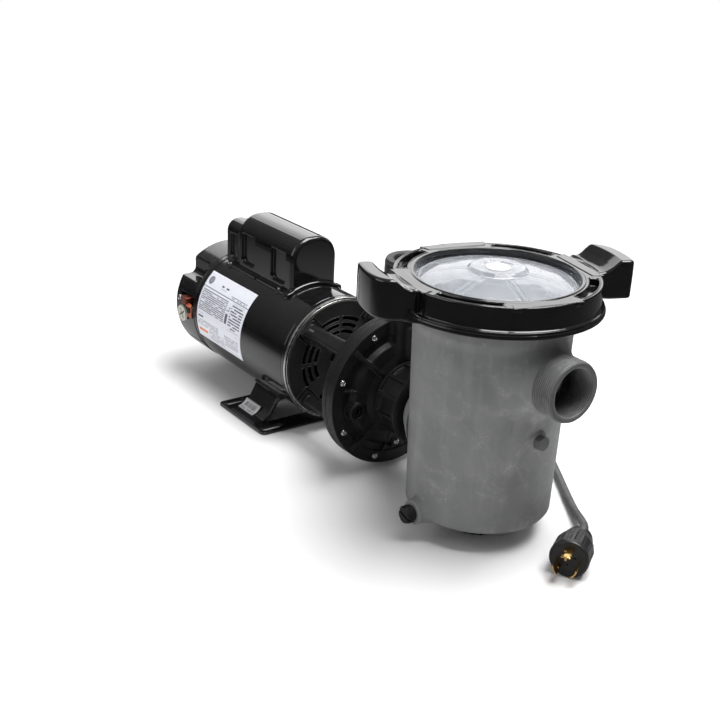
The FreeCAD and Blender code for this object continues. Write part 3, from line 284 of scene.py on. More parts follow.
def sample(field, low, counts, step):
    """Distance values on a grid. Blocks far from the surface only get the sign."""
    reach = step * BLOCK * 0.87 * 1.25 + 2.5
    starts = [low[n] + step * BLOCK * np.arange(counts[n]) for n in range(3)]
    middles = [s + step * (BLOCK - 1) / 2 for s in starts]
    coarse = field(*(m.ravel() for m in np.meshgrid(*middles, indexing="ij"))).reshape(counts)
    sign = np.where(coarse < 0, -reach, reach).astype(np.float32)
    values = np.broadcast_to(sign[:, None, :, None, :, None],
                             (counts[0], BLOCK, counts[1], BLOCK, counts[2], BLOCK)).copy()
    near = np.argwhere(np.abs(coarse) < reach)
    offset = np.arange(BLOCK) * step
    for start in range(0, len(near), 2500):
        i, j, k = near[start:start + 2500].T
        x = (starts[0][i][:, None] + offset)[:, :, None, None]
        y = (starts[1][j][:, None] + offset)[:, None, :, None]
        z = (starts[2][k][:, None] + offset)[:, None, None, :]
        x, y, z = np.broadcast_arrays(x, y, z)
        values[i, :, j, :, k, :] = field(x, y, z)
    return values.reshape([c * BLOCK for c in counts])


def slope(field, points, reach):
    """Unit direction in which the field grows, at each point."""
    p = points.T
    columns = []
    for n in range(3):
        ahead = [p[m] + (reach if m == n else 0) for m in range(3)]
        behind = [p[m] - (reach if m == n else 0) for m in range(3)]
        columns.append(field(*ahead) - field(*behind))
    grown = np.stack(columns, 1)
    return grown / np.maximum(np.linalg.norm(grown, axis=1, keepdims=True), 1e-9)


def carve(name, field, low, high, step, body="root", covers=(), coat=None, slot=None):
    """Make the mesh of a field's zero surface, with smooth normals taken from the field."""
    step = step * COARSE
    low = np.array(low, float) - 2 * step
    counts = np.ceil((np.array(high, float) + 2 * step - low) / step / BLOCK).astype(int)
    values = sample(field, low, counts, step)
    grid = openvdb.FloatGrid(float(values.max()))
    grid.copyFromArray(values)
    points, quads = grid.convertToQuads(0.0)
    points = np.asarray(points, float) * step + low
    quads = np.asarray(quads, np.int64)
    for _ in range(2):
        normals = slope(field, points, step * 0.3)
        shift = np.clip(field(*points.T), -step * 0.7, step * 0.7)
        points = points - normals * shift[:, None]
    normals = slope(field, points, step * 0.3)
    corners = points[quads]
    facing = np.cross(corners[:, 2] - corners[:, 0], corners[:, 3] - corners[:, 1])
    if (facing * normals[quads[:, 0]]).sum() < 0:
        quads = quads[:, ::-1]
    piece = mesh_piece(name, points * MM, quads, body, covers, coat, slot)
    piece.data.normals_split_custom_set_from_vertices([tuple(n) for n in normals])
    return piece


def mesh_piece(name, points, faces, body="root", covers=(), coat=None, slot=None, smooth=True):
    mesh = bpy.data.meshes.new(name)
    faces = [list(map(int, f)) for f in faces] if not isinstance(faces, np.ndarray) else faces
    if isinstance(faces, np.ndarray):
        count = len(faces)
        width = faces.shape[1]
        mesh.vertices.add(len(points))
        mesh.vertices.foreach_set("co", np.asarray(points, np.float32).ravel())
        mesh.loops.add(count * width)
        mesh.loops.foreach_set("vertex_index", faces.astype(np.int32).ravel())
        mesh.polygons.add(count)
        mesh.polygons.foreach_set("loop_start", np.arange(0, count * width, width, dtype=np.int32))
        mesh.update(calc_edges=True)
        mesh.validate()
    else:
        mesh.from_pydata([tuple(p) for p in points], [], faces)
    mesh.polygons.foreach_set("use_smooth", [smooth] * len(mesh.polygons))
    piece = bpy.data.objects.new(name, mesh)
    bpy.context.scene.collection.objects.link(piece)
    if coat is not None:
        mesh.materials.append(coat)
    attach(piece, body)
    if covers:
        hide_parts(*covers)
    return piece


def grid_faces(rows, cols, wrap_rows=False, wrap_cols=False):
    """Quads of a rows x cols grid of points."""
    i = np.arange(rows if wrap_rows else rows - 1)
    j = np.arange(cols if wrap_cols else cols - 1)
    i, j = np.meshgrid(i, j, indexing="ij")
    i2, j2 = (i + 1) % rows, (j + 1) % cols
    return np.stack([i * cols + j, i2 * cols + j, i2 * cols + j2, i * cols + j2], -1).reshape(-1, 4)


def turned_piece(name, rings, origin, axis, sides=160, **options):
    """A closed skin of revolution. rings are (along, radius) corners of a closed outline."""
    path = corner_path(rings)
    forward = Vector(axis).normalized()
    side = forward.orthogonal().normalized()
    up = forward.cross(side)
    angles = np.linspace(0, 2 * math.pi, sides, endpoint=False)
    circle = np.outer(np.cos(angles), side) + np.outer(np.sin(angles), up)
    points = (np.array(origin, float) + path[:, 0][:, None, None] * np.array(forward)
              + path[:, 1][:, None, None] * circle[None])
    faces = grid_faces(len(path), sides, wrap_rows=True, wrap_cols=True)
    piece = mesh_piece(name, points.reshape(-1, 3) * MM, faces, **options)
    tidy_normals(piece)
    return piece


def tidy_normals(piece, sharp=38):
    work = bmesh.new()
    work.from_mesh(piece.data)
    bmesh.ops.remove_doubles(work, verts=work.verts, dist=2e-6)
    bmesh.ops.recalc_face_normals(work, faces=work.faces)
    work.to_mesh(piece.data)
    work.free()
    piece.data.set_sharp_from_angle(angle=math.radians(sharp))


# --- materials -----------------------------------------------------------------------------------

class Nodes:
    """Short calls for building a node tree."""

    def __init__(self, material):
        self.tree = material.node_tree
        self.tree.nodes.clear()

    def add(self, kind, **settings):
        node = self.tree.nodes.new("ShaderNode" + kind)
        inputs = settings.pop("inputs", {})
        for key, value in settings.items():
            setattr(node, key, value)
        for key, value in inputs.items():
            self.set(node, key, value)
        return node

    def set(self, node, key, value):
        socket = node.inputs[key]
        if isinstance(value, bpy.types.NodeSocket):
            self.tree.links.new(value, socket)
        elif isinstance(value, bpy.types.Node):
            self.tree.links.new(value.outputs[0], socket)
        else:
            socket.default_value = value

    def place(self, scale=(1, 1, 1)):
        spot = self.add("TexCoord").outputs["Object"]
        return self.add("Mapping", inputs={"Vector": spot, "Scale": scale})

    def noise(self, scale, detail=3, where=None, rough=0.55, distortion=0.0):
        return self.add("TexNoise", inputs={
            "Vector": where or self.place(), "Scale": scale, "Detail": detail, "Roughness": rough,
            "Distortion": distortion}).outputs["Fac"]

    def math(self, operation, a, b=0.0):
        return self.add("Math", operation=operation, inputs={0: a, 1: b}).outputs[0]

    def remap(self, value, low, high, to_low=0.0, to_high=1.0):
        return self.add("MapRange", inputs={
            "Value": value, "From Min": low, "From Max": high, "To Min": to_low,
            "To Max": to_high}).outputs[0]

    def mix(self, share, a, b):
        node = self.add("Mix", data_type="RGBA")
        self.set(node, "Factor", share)
        for key, value in ((6, a), (7, b)):
            if isinstance(value, (bpy.types.NodeSocket, bpy.types.Node)):
                self.set(node, key, value)
            else:
                node.inputs[key].default_value = (*value[:3], 1)
        return node.outputs[2]

    def bump(self, height, strength, distance):
        return self.add("Bump", inputs={
            "Height": height, "Strength": strength, "Distance": distance * MM}).outputs[0]


def surface(name, color, rough, metallic=0.0, coat=0.0, spread=0.12, rough_spread=0.06,
            blotch=18.0, grain=0.0, grain_size=900.0, streak=None, specular=0.5, edge=0.0,
            edge_color=None, dust=0.0, dust_color=(0.5, 0.5, 0.5)):
    """A moulded, painted or metal finish: blotchy colour, uneven gloss, grain, edge wear, dust."""
    material = bpy.data.materials.new(name)
    material.use_nodes = True
    n = Nodes(material)
    broad = n.noise(blotch, 4)
    fine = n.noise(blotch * 9, 3)
    lighter = [min(1, c * (1 + spread)) for c in color]
    darker = [c * (1 - spread) for c in color]
    tint = n.mix(n.remap(broad, 0.35, 0.65), darker, lighter)
    shine = n.remap(fine, 0.3, 0.7, max(0.02, rough - rough_spread), rough + rough_spread)
    if streak:
        lines = n.noise(60, 2, n.place(streak), rough=0.7)
        shine = n.math("ADD", shine, n.remap(lines, 0.3, 0.7, -0.08, 0.08))
        tint = n.mix(n.remap(lines, 0.3, 0.75), tint, [c * 0.72 for c in color])
    if edge > 0:
        wear = n.add("NewGeometry").outputs["Pointiness"]
        rub = n.math("MULTIPLY", n.remap(wear, 0.53, 0.62), n.remap(fine, 0.4, 0.6, 0.2, 1))
        tint = n.mix(n.math("MULTIPLY", rub, edge), tint, edge_color or [min(1, c * 3) for c in color])
    if dust > 0:
        up = n.add("SeparateXYZ", inputs={"Vector": n.add("NewGeometry").outputs["Normal"]})
        film = n.math("MULTIPLY", n.remap(up.outputs["Z"], 0.2, 1), n.remap(n.noise(140, 5), 0.45, 0.75))
        film = n.math("MULTIPLY", film, dust)
        tint = n.mix(film, tint, dust_color)
        shine = n.math("ADD", shine, n.math("MULTIPLY", film, 0.4))
    shader = n.add("BsdfPrincipled", inputs={
        "Base Color": tint, "Roughness": shine, "Metallic": metallic, "Coat Weight": coat,
        "Coat Roughness": 0.04, "Specular IOR Level": specular})
    if grain > 0:
        pores = n.noise(grain_size, 2)
        n.set(shader, "Normal", n.bump(pores, 0.55, grain))
    out = n.add("OutputMaterial")
    n.tree.links.new(shader.outputs[0], out.inputs["Surface"])
    return material


def painted_thread_shade(n, tint):
    """Painted shade: a darker tint in the valleys of the inlet's threads and down its bore, where shade
    falls.
    """
    place = n.add("SeparateXYZ", inputs={"Vector": n.add("NewGeometry").outputs["Position"]})
    rise = n.math("SUBTRACT", place.outputs["Z"], INLET_Z * MM)
    reach = n.math("SQRT", n.math("ADD", n.math("MULTIPLY", rise, rise),
                                  n.math("MULTIPLY", place.outputs["Y"], place.outputs["Y"])))
    valley = n.remap(reach, 29.0 * MM, 30.1 * MM, 0.62, 0)
    inner_valley = n.remap(reach, 23.7 * MM, 24.8 * MM, 0, 0.5)
    deep = n.remap(place.outputs["X"], 438 * MM, 412 * MM, 0.12, 0.97)
    bore = n.math("MAXIMUM", inner_valley, deep)
    inside = n.math("LESS_THAN", reach, 26.5 * MM)
    outside = n.math("SUBTRACT", 1.0, inside)
    shade = n.math("ADD", n.math("MULTIPLY", inside, bore), n.math("MULTIPLY", outside, valley))
    return n.mix(shade, tint, (0.012, 0.012, 0.012))


def pot_plastic(threaded=False):
    """Dark grey moulded resin with chalky scuffs, cloudy patches and faint upright rub marks."""
    material = bpy.data.materials.new("scuffed_grey_threads" if threaded else "scuffed_grey_resin")
    material.use_nodes = True
    n = Nodes(material)
    cloud = n.noise(13, 6, rough=0.6, distortion=0.5)
    patch = n.noise(34, 6, rough=0.65, distortion=1.2)
    speck = n.noise(420, 3, rough=0.7)
    upright = n.noise(55, 4, n.place((1, 1, 0.16)), rough=0.7)
    tint = n.mix(n.remap(cloud, 0.3, 0.7), (0.165, 0.167, 0.168), (0.235, 0.237, 0.238))
    tint = n.mix(n.math("MULTIPLY", n.remap(upright, 0.5, 0.75), 0.35), tint, (0.31, 0.312, 0.31))
    chalk = n.math("MULTIPLY", n.remap(patch, 0.52, 0.78), n.remap(speck, 0.35, 0.62))
    tint = n.mix(n.math("MULTIPLY", chalk, 0.6), tint, (0.45, 0.45, 0.445))
    fleck = n.add("TexVoronoi", feature="F1", inputs={"Vector": n.place(), "Scale": 26.0})
    dot = n.remap(fleck.outputs["Distance"], 0.018, 0.03, 1, 0)
    tint = n.mix(n.math("MULTIPLY", dot, 0.75), tint, (0.62, 0.62, 0.6))
    # The threaded copy gets painted shade in its thread valleys and down its bore.
    if threaded:
        tint = painted_thread_shade(n, tint)
    shine = n.remap(patch, 0.3, 0.75, 0.42, 0.66)
    shader = n.add("BsdfPrincipled", inputs={
        "Base Color": tint, "Roughness": shine, "Specular IOR Level": 0.42})
    pores = n.math("ADD", n.noise(700, 3), n.math("MULTIPLY", patch, 0.8))
    n.set(shader, "Normal", n.bump(pores, 0.4, 0.12))
    out = n.add("OutputMaterial")
    n.tree.links.new(shader.outputs[0], out.inputs["Surface"])
    return material


def clear_plastic():
    """Clear lid resin: light passes in and out, with a little haze and fine scratches."""
    material = bpy.data.materials.new("clear_resin")
    material.use_nodes = True
    n = Nodes(material)
    haze = n.noise(30, 4)
    scratch = n.noise(90, 3, n.place((1, 6, 1)), rough=0.8)
    shine = n.remap(scratch, 0.3, 0.8, 0.03, 0.14)
    glass = n.add("BsdfPrincipled", inputs={
        "Base Color": (0.85, 0.865, 0.885, 1), "Roughness": shine, "IOR": 1.45,
        "Transmission Weight": 1.0, "Specular IOR Level": 0.4})
    milk = n.add("BsdfPrincipled", inputs={
        "Base Color": (0.4, 0.415, 0.44, 1), "Roughness": 0.3, "Specular IOR Level": 0.35})
    body = n.add("MixShader", inputs={
        0: n.remap(haze, 0.3, 0.7, 0.28, 0.4), 1: glass.outputs[0], 2: milk.outputs[0]})
    clear = n.add("BsdfTransparent", inputs={"Color": (0.9, 0.92, 0.94, 1)})
    path = n.add("LightPath")
    both = n.add("MixShader", inputs={
        0: path.outputs["Is Shadow Ray"], 1: body.outputs[0], 2: clear.outputs[0]})
    out = n.add("OutputMaterial")
    n.tree.links.new(both.outputs[0], out.inputs["Surface"])
    return material


coats = {
    "gloss_black": surface("gloss_black_resin", (0.005, 0.005, 0.0055), 0.09, coat=0.5, spread=0.25,
                           rough_spread=0.03, grain=0.02, grain_size=500, dust=0.012, specular=0.45),
    "enamel": surface("black_enamel", (0.005, 0.005, 0.0055), 0.13, coat=0.6, spread=0.3,
                      rough_spread=0.03, grain=0.03, grain_size=260, dust=0.012, specular=0.45),
    "stamped": surface("black_stamped_enamel", (0.006, 0.006, 0.007), 0.12, coat=0.8, spread=0.3,
                       rough_spread=0.03, grain=0.05, grain_size=120, edge=0.25,
                       edge_color=(0.2, 0.2, 0.2)),
    "cover": surface("black_cover_resin", (0.0085, 0.0085, 0.0095), 0.16, coat=0.35, spread=0.25,
                     rough_spread=0.04, grain=0.03, grain_size=420, dust=0.06),
    "matte_black": surface("glass_filled_black_resin", (0.008, 0.008, 0.0085), 0.42, spread=0.35,
                           rough_spread=0.1, blotch=26, grain=0.1, grain_size=620, edge=0.3,
                           edge_color=(0.05, 0.05, 0.05), dust=0.05, dust_color=(0.12, 0.12, 0.12),
                           specular=0.3),
    "disc": surface("grained_black_resin", (0.009, 0.009, 0.0095), 0.46, spread=0.3, rough_spread=0.08,
                    grain=0.16, grain_size=950, edge=0.4, edge_color=(0.16, 0.16, 0.16)),
    "port": surface("dark_threaded_resin", (0.03, 0.031, 0.032), 0.55, spread=0.3, grain=0.1),
    "pot": pot_plastic(),
    "pot_threads": pot_plastic(threaded=True),
    "clear": clear_plastic(),
    "rubber": surface("black_rubber", (0.018, 0.018, 0.018), 0.62, spread=0.3, grain=0.08,
                      grain_size=800, specular=0.35),
    "steel": surface("turned_steel", (0.55, 0.55, 0.56), 0.28, metallic=1, spread=0.1,
                     streak=(1, 14, 14), grain=0.02),
    "stainless": surface("bright_stainless", (0.66, 0.65, 0.63), 0.2, metallic=1, spread=0.1,
                         grain=0.03, grain_size=300),
    "cast": surface("machined_aluminium", (0.72, 0.71, 0.69), 0.3, metallic=1, spread=0.12,
                    streak=(14, 1, 1), grain=0.03),
    "laminate": surface("steel_laminations", (0.24, 0.23, 0.22), 0.45, metallic=0.9, spread=0.2,
                        streak=(60, 1, 1), grain=0.05),
    "copper": surface("oxidised_copper", (0.2, 0.055, 0.035), 0.36, metallic=0.85, spread=0.35,
                      blotch=70, rough_spread=0.14, grain=0.06, grain_size=400,
                      edge=0.5, edge_color=(0.6, 0.27, 0.17)),
    "copper_bright": surface("bright_copper", (0.6, 0.17, 0.085), 0.38, metallic=0.6, spread=0.2,
                             blotch=80, grain=0.05, grain_size=400),
    "winding": surface("enamelled_wire", (0.42, 0.17, 0.07), 0.35, metallic=0.7, spread=0.4,
                       streak=(1, 8, 8), grain=0.3, grain_size=250),
    "brass": surface("bright_brass", (0.72, 0.46, 0.17), 0.2, metallic=1, spread=0.22, blotch=60,
                     grain=0.03),
    "dial": surface("ivory_resin", (0.62, 0.6, 0.54), 0.42, spread=0.08, grain=0.05,
                    edge=0.2, edge_color=(0.8, 0.78, 0.72)),
    "basket": surface("pale_basket_resin", (0.3, 0.31, 0.32), 0.42, spread=0.06, grain=0.05),
    "cord": surface("grey_cord_jacket", (0.055, 0.057, 0.06), 0.42, spread=0.14, grain=0.05,
                    grain_size=500, streak=(0.4, 1, 1), dust=0.1),
    "plug": surface("ribbed_black_resin", (0.012, 0.012, 0.0125), 0.38, spread=0.25, grain=0.06,
                    grain_size=700, edge=0.35, edge_color=(0.12, 0.12, 0.12)),
    "hex_grey": surface("dark_grey_resin", (0.1, 0.101, 0.103), 0.45, spread=0.2, grain=0.06,
                        edge=0.3, edge_color=(0.14, 0.14, 0.14)),
    "ceramic": surface("ground_ceramic", (0.78, 0.76, 0.7), 0.22, spread=0.04, grain=0.01),
    "badge": surface("printed_disc", (0.78, 0.8, 0.83), 0.35, spread=0.03, grain=0.02),
}


# --- strainer pot --------------------------------------------------------------------------------

def threaded_port(name, start, end, crest, bore, depth, origin, axis, coat, bore_start=None):
    """A pipe end with a helical thread outside and inside; start and end lie along the axis."""
    sides = 144
    step = 0.3 * COARSE
    back = start if bore_start is None else bore_start
    out_x = np.arange(start, end - 1.2, step)
    in_x = np.arange(end - 1.6, back, -step)
    chamfer = [(end - 1.1, crest - depth), (end - 0.5, crest - depth - 0.2), (end, crest - depth - 0.8),
               (end, crest - depth - 1.4), (end, bore + 1.9), (end, bore + 1.3), (end - 0.5, bore + 0.9),
               (end - 1.2, bore + 0.3)]
    along = np.concatenate([out_x, [c[0] for c in chamfer], in_x])
    radius = np.concatenate([np.full(len(out_x), crest), [c[1] for c in chamfer],
                             np.full(len(in_x), bore)])
    kind = np.concatenate([np.full(len(out_x), -1.0), np.zeros(len(chamfer)), np.full(len(in_x), 1.0)])
    angle = np.linspace(0, 2 * math.pi, sides, endpoint=False)
    phase = (along[:, None] / PIPE_PITCH - angle[None] / (2 * math.pi)) % 1.0
    ridge = np.clip(np.abs(phase * 2 - 1) * 1.35 - 0.1, 0, 1)
    ease = np.where(kind < 0, np.clip((end - 1.4 - along) / 2.2, 0, 1), 1)[:, None]
    fade = np.where(kind < 0, np.clip((along - start) / 1.6, 0, 1), np.clip((along - back) / 3, 0, 1))
    cutting = ridge * fade[:, None]
    outside = crest - depth * np.maximum(cutting, 1 - ease)
    inside = bore + depth * ridge * fade[:, None]
    r = np.where(kind[:, None] < 0, outside, np.where(kind[:, None] > 0, inside, radius[:, None]))
    forward = Vector(axis).normalized()
    side = forward.orthogonal().normalized()
    up = forward.cross(side)
    circle = np.outer(np.cos(angle), side) + np.outer(np.sin(angle), up)
    points = (np.array(origin, float) + along[:, None, None] * np.array(forward)
              + r[:, :, None] * circle[None])
    faces = grid_faces(len(along), sides, wrap_rows=True, wrap_cols=True)
    piece = mesh_piece(name, points.reshape(-1, 3) * MM, faces, coat=coats[coat])
    tidy_normals(piece, 60)
    return piece


def strainer_pot():
    wall = lathe_z([
        (0, 23.6), (70.2, 23.6, 0.9), (72.9, 27.4, 3), (77.2, 212, 20), (79.4, 221, 9),
        (79.6, 231, 5), (93, 240, 3), (93, 250, 1.2), (86.3, 250, 0.5), (86.3, 247.1, 0.6),
        (80.7, 247.1, 0.6), (80.7, 250, 0.5), (75, 250, 1), (75, 232, 0.6), (72.5, 232, 0.6),
        (68.2, 39.6, 3), (58, 29, 8), (0, 29),
    ], TRAP_X)
    neck = join(rod_x(226.3, 262, 27.4, 0, AXIS, 0.8), rod_x(226.35, 231.7, 35.8, 0, AXIS, 1))
    hub = lathe_x([(238, 0), (238, 31, 4), (262, 46), (262, 0)], z0=AXIS)
    pipe = lathe_x([(384, 0), (384, 44), (404, 36.5, 14), (413, 31.2, 12), (417, 29.0, 4), (440.6, 28.9),
                    (440.6, 0)], z0=INLET_Z)
    boss = rod_y(-84.5, -58, 12.6, 326, 32.2, 1.6)
    pad = rod_x(389, 405, 9.8, 0, 121, 1.2)
    solid = join(wall, neck, hub, k=3)
    solid = join(solid, pipe, k=9)
    solid = join(solid, boss, k=9)
    solid = join(solid, pad, k=3)
    room = lathe_z([(0, 29), (58, 29, 8), (68.2, 39.6, 3), (72.5, 232), (72.5, 236), (0, 236)], TRAP_X)
    pot = cut(solid, room, rod_x(220, 262, 22, 0, AXIS), rod_x(380, 450, 25.4, 0, INLET_Z),
              rod_y(-90, -50, 5, 326, 31.5), rod_x(380, 410, 3.5, 0, 121), k=0.5)
    carve("pot_moulding", pot, (226, -93, 19), (442, 93, 250.2), 1.05, covers=["trap_body"],
          coat=coats["pot"], slot="grey_plastic")
    threaded_port("inlet_threads", 416.0, 441.6, 30.25, 23.6, 1.25, (0, 0, INLET_Z), (1, 0, 0),
                  "pot_threads", bore_start=404.0)


def pot_foot():
    """The round base under the pot: a ring with ribs on the outside."""
    ring = lathe_z([(24, 0.2, 0.8), (32.6, 0.2, 1.2), (32.2, 23.3, 1), (24, 23.3, 1)], TRAP_X)
    rib = around_z(box(31.5, 33, -1.4, 1.4, 0.4, 23.2, 0.5), 12, TRAP_X)
    carve("pot_base_ring", join(ring, rib, k=1), (293, -34, 0), (361, 34, 24), 0.9,
          covers=["trap_foot"], coat=coats["matte_black"], slot="black_plastic")


def lid():
    half = 92.0
    seat = 250.1
    dome = lathe_z([
        (-1, 266.6), (24, 265.3, 3), (40, 263.0, 40), (60, 258.2, 60), (70.5, 253.6, 20), (75.5, 250.1, 0.6),
        (half, seat, 0.6), (half, 255.9, 0.8), (78.5, 255.9, 2), (62, 261.9, 60), (44, 266.6, 60),
        (29, 268.8, 3), (26.2, 271.6, 0.8), (25.2, 272.3, 0.7), (16.2, 272.3, 0.7), (14.4, 271.0, 0.6),
        (-1, 271.0),
    ], TRAP_X, cell=0.25)
    rib = around_z(join(box(24, 76, 1.7, 3.5, 246, 266, 0.5), box(24, 76, -3.5, -1.7, 246, 266, 0.5)),
                   6, TRAP_X, math.radians(-18))
    under = lathe_z([(-1, 262.6), (24, 261.6), (40, 259.4, 40), (60, 254.9, 60), (70, 251.2, 10),
                     (76, 250.2), (76, 268), (-1, 268)], TRAP_X)
    below = lathe_z([(-1, 240), (-1, 267.4), (24, 266.4), (60, 259.2), (76, 252.0), (76, 240)], TRAP_X)
    ribs = common(common(rib, under), below)
    step = lathe_z([(74.2, 254.4), (74.2, 259.2, 0.5), (75.4, 259.2, 0.5), (75.4, 254.4)], TRAP_X)
    carve("lid_moulding", join(join(dome, ribs, k=0.8), step, k=0.8), (235, -93, 249), (420, 93, 273),
          0.8, body="lid", covers=["trap_lid"], coat=coats["clear"], slot="clear_lid")
    disc = lathe_z([(0, 271.1), (11.6, 271.1, 0.1), (11.6, 271.55, 0.2), (0, 271.55)], TRAP_X, cell=0.1)
    carve("lid_badge_disc", disc, (TRAP_X - 12, -12, 271), (TRAP_X + 12, 12, 271.6), 0.22, body="lid",
          covers=["lid_badge"], coat=badge_print(), slot="white_label")


def badge_print():
    """A white disc with a few soft red and blue bars."""
    material = surface("badge_print", (0.8, 0.82, 0.86), 0.3, spread=0.03)
    tree = material.node_tree
    n = Nodes.__new__(Nodes)
    n.tree = tree
    shader = next(node for node in tree.nodes if node.type == "BSDF_PRINCIPLED")
    spot = n.add("TexCoord").outputs["Object"]
    local = n.add("VectorMath", operation="SUBTRACT", inputs={
        0: spot, 1: (TRAP_X * MM, 0, 271.5 * MM)})
    parts = n.add("SeparateXYZ", inputs={"Vector": local.outputs[0]})
    turned = n.math("ADD", n.math("MULTIPLY", parts.outputs["X"], 0.62),
                    n.math("MULTIPLY", parts.outputs["Y"], 0.78))
    across = n.math("SUBTRACT", n.math("MULTIPLY", parts.outputs["X"], 0.78),
                    n.math("MULTIPLY", parts.outputs["Y"], 0.62))
    bars = n.math("GREATER_THAN", n.math("FRACT", n.math("MULTIPLY", across, 420.0)), 0.45)
    wide = n.math("LESS_THAN", n.math("ABSOLUTE", turned), 0.0058)
    tall = n.math("LESS_THAN", n.math("ABSOLUTE", across), 0.0036)
    flag = n.math("MULTIPLY", n.math("MULTIPLY", bars, wide), tall)
    left = n.math("LESS_THAN", turned, -0.0008)
    ink = n.mix(left, (0.75, 0.2, 0.2), (0.2, 0.28, 0.6))
    base = shader.inputs["Base Color"].links[0].from_socket
    marked = n.mix(n.math("MULTIPLY", flag, 0.7), base, ink)
    n.set(shader, "Base Color", marked)
    return material


def lock_ring():
    turn = RING_TURN
    ring = lathe_z([
        (78.9, 256.1, 0.5), (78.9, 265.2, 0.8), (80.2, 265.9, 0.6), (82.2, 265.9, 0.6), (83.0, 265.0, 0.5),
        (96.6, 265.0, 0.5), (97.2, 265.7, 0.5), (98.4, 265.6, 0.8), (99.2, 264.3, 1), (99.4, 244.6, 1.6),
        (101.2, 243.4, 0.8), (102.6, 243.4, 0.9), (103.0, 241.2, 0.7), (103.8, 240.4, 0.8),
        (103.9, 237.6, 0.9), (102.8, 236.6, 0.6), (93.3, 236.6, 0.5), (93.3, 256.1, 0.5),
    ], TRAP_X, cell=0.25)
    pad = around_z(lambda r, t, z: slab(
        np.maximum(np.abs(r - 89.9) - 5.6, np.abs(np.arctan2(t, r)) * 90 - 32.5), z, 262, 265.8, 0.5),
        4, TRAP_X, turn)
    slot = around_z(lambda r, t, z: slab(
        smooth_max(np.abs(np.hypot(r, t) - 90.2) - 4.1, np.abs(np.arctan2(t, r)) * 90 - 30.5, 3),
        z, 257.8, 270, 0.6), 4, TRAP_X, turn + math.pi / 4)
    bead = around_z(lambda r, t, z: slab(
        np.abs(smooth_max(np.abs(np.hypot(r, t) - 90.2) - 5.2, np.abs(np.arctan2(t, r)) * 90 - 32, 3)) - 0.5,
        z, 263, 265.7, 0.3), 4, TRAP_X, turn + math.pi / 4)
    body = cut(join(ring, pad, bead, k=0.7), slot, k=0.8)
    spread = math.radians(15.3)
    profile = Outline([
        (92, 239.5), (112, 238.0, 8), (128, 238.6, 6), (140, 238.2), (140, 277.4), (121, 277.2, 3),
        (113.5, 270.0, 14), (105.5, 264.9, 12), (92, 264.9),
    ])

    def with_grips(x, y, z):
        across = math.sin(turn) * y + math.cos(turn) * (x - TRAP_X)
        lengthwise = math.cos(turn) * y - math.sin(turn) * (x - TRAP_X)
        across = across * np.sign(lengthwise)
        along = np.abs(lengthwise)
        radius = np.hypot(across, along)
        blunt = across * math.cos(spread) - along * math.sin(spread)
        swept = -across * math.cos(spread) - along * math.sin(spread)
        plan = smooth_max(radius - 134.4 + 0.0007 * (z - 257) ** 2, blunt, 5)
        plan = smooth_max(plan, swept, 30)
        grip = smooth_max(plan, profile(radius, z), 3.5)
        grip = np.maximum(grip, 97.5 - radius)
        outside = np.clip((radius - 98) / 6, 0, 1)
        blend = 0.3 + outside * (1.5 + 12 * np.clip((2 - across) / 24, 0, 1))
        return smooth_min(body(x, y, z), grip, blend)
    hollow = rod_z(200, 256.1, 93.3, TRAP_X, 0, 0.4)
    under = rod_z(200, 236.6, 140, TRAP_X, 0, 0)
    ring_piece = cut(with_grips, hollow, under, k=0.6)
    opening = rod_z(200, 300, 78.9, TRAP_X, 0, 0)
    carve("lock_ring_moulding", cut(ring_piece, opening, k=0.8), (223, -136, 236), (432, 136, 277.5), 0.75,
          body="lock_ring", covers=["lock_ring"], coat=coats["gloss_black"], slot="ring_plastic")


HEX_ROUNDING = 0.5


def hexagon(across_flats, turn):
    reach = across_flats / math.sqrt(3)
    return [(reach * math.cos(turn + k * math.pi / 3), reach * math.sin(turn + k * math.pi / 3),
             HEX_ROUNDING) for k in range(6)]


def pot_plugs():
    low, high = cad_box("trap_drain_plug")
    cx, cz = (low[0] + high[0]) / 2, (low[2] + high[2]) / 2
    shape = Outline([(x + cx, z + cz, r) for x, z, r in hexagon(16.5, 0.35)], cell=0.2, margin=6)
    head = lambda x, y, z: smooth_max(slab(shape(x, z), y, -94.2, -86.2, 0.5),
                                      np.hypot(x - cx, z - cz) + (-y - 94.2) * 0.8 - 8.0, 0.6)
    collar = rod_y(-87.6, -86.2, 9.2, cx, cz, 0.4)
    shank = rod_y(-86.6, -68, 4.95, cx, cz, 0.4)
    turn = math.radians(18)

    def notch(x, y, z):
        across = (x - cx) * math.sin(turn) + (z - cz) * math.cos(turn)
        return np.maximum(np.abs(across) - 1.0, y + 91.0)
    plug = cut(join(head, collar, shank, k=0.6), notch, k=0.4)
    carve("drain_plug_moulding", plug, (low[0], low[1], low[2]), (high[0], high[1], high[2]), 0.4,
          body="trap_drain", covers=["trap_drain_plug"], coat=coats["matte_black"], slot="black_plastic")
    low, high = cad_box("gauge_plug")
    gx = high[0]
    gz = (low[2] + high[2]) / 2
    flat = Outline([(y, z + gz, r) for y, z, r in hexagon(14, math.pi / 6)], cell=0.2, margin=6)
    cap = lambda x, y, z: smooth_max(slab(flat(y, z), x, gx - 6, gx, 0.5),
                                     np.hypot(y, z - gz) + (x - gx) * 0.8 - 6.9, 0.6)
    stem = rod_x(low[0], gx - 4, 3.45, 0, gz, 0.4)
    carve("gauge_plug_moulding", join(cap, stem, k=0.4), low, high, 0.4, body="gauge_plug",
          covers=["gauge_plug"], coat=coats["hex_grey"], slot="grey_plastic")


# --- pump end ------------------------------------------------------------------------------------

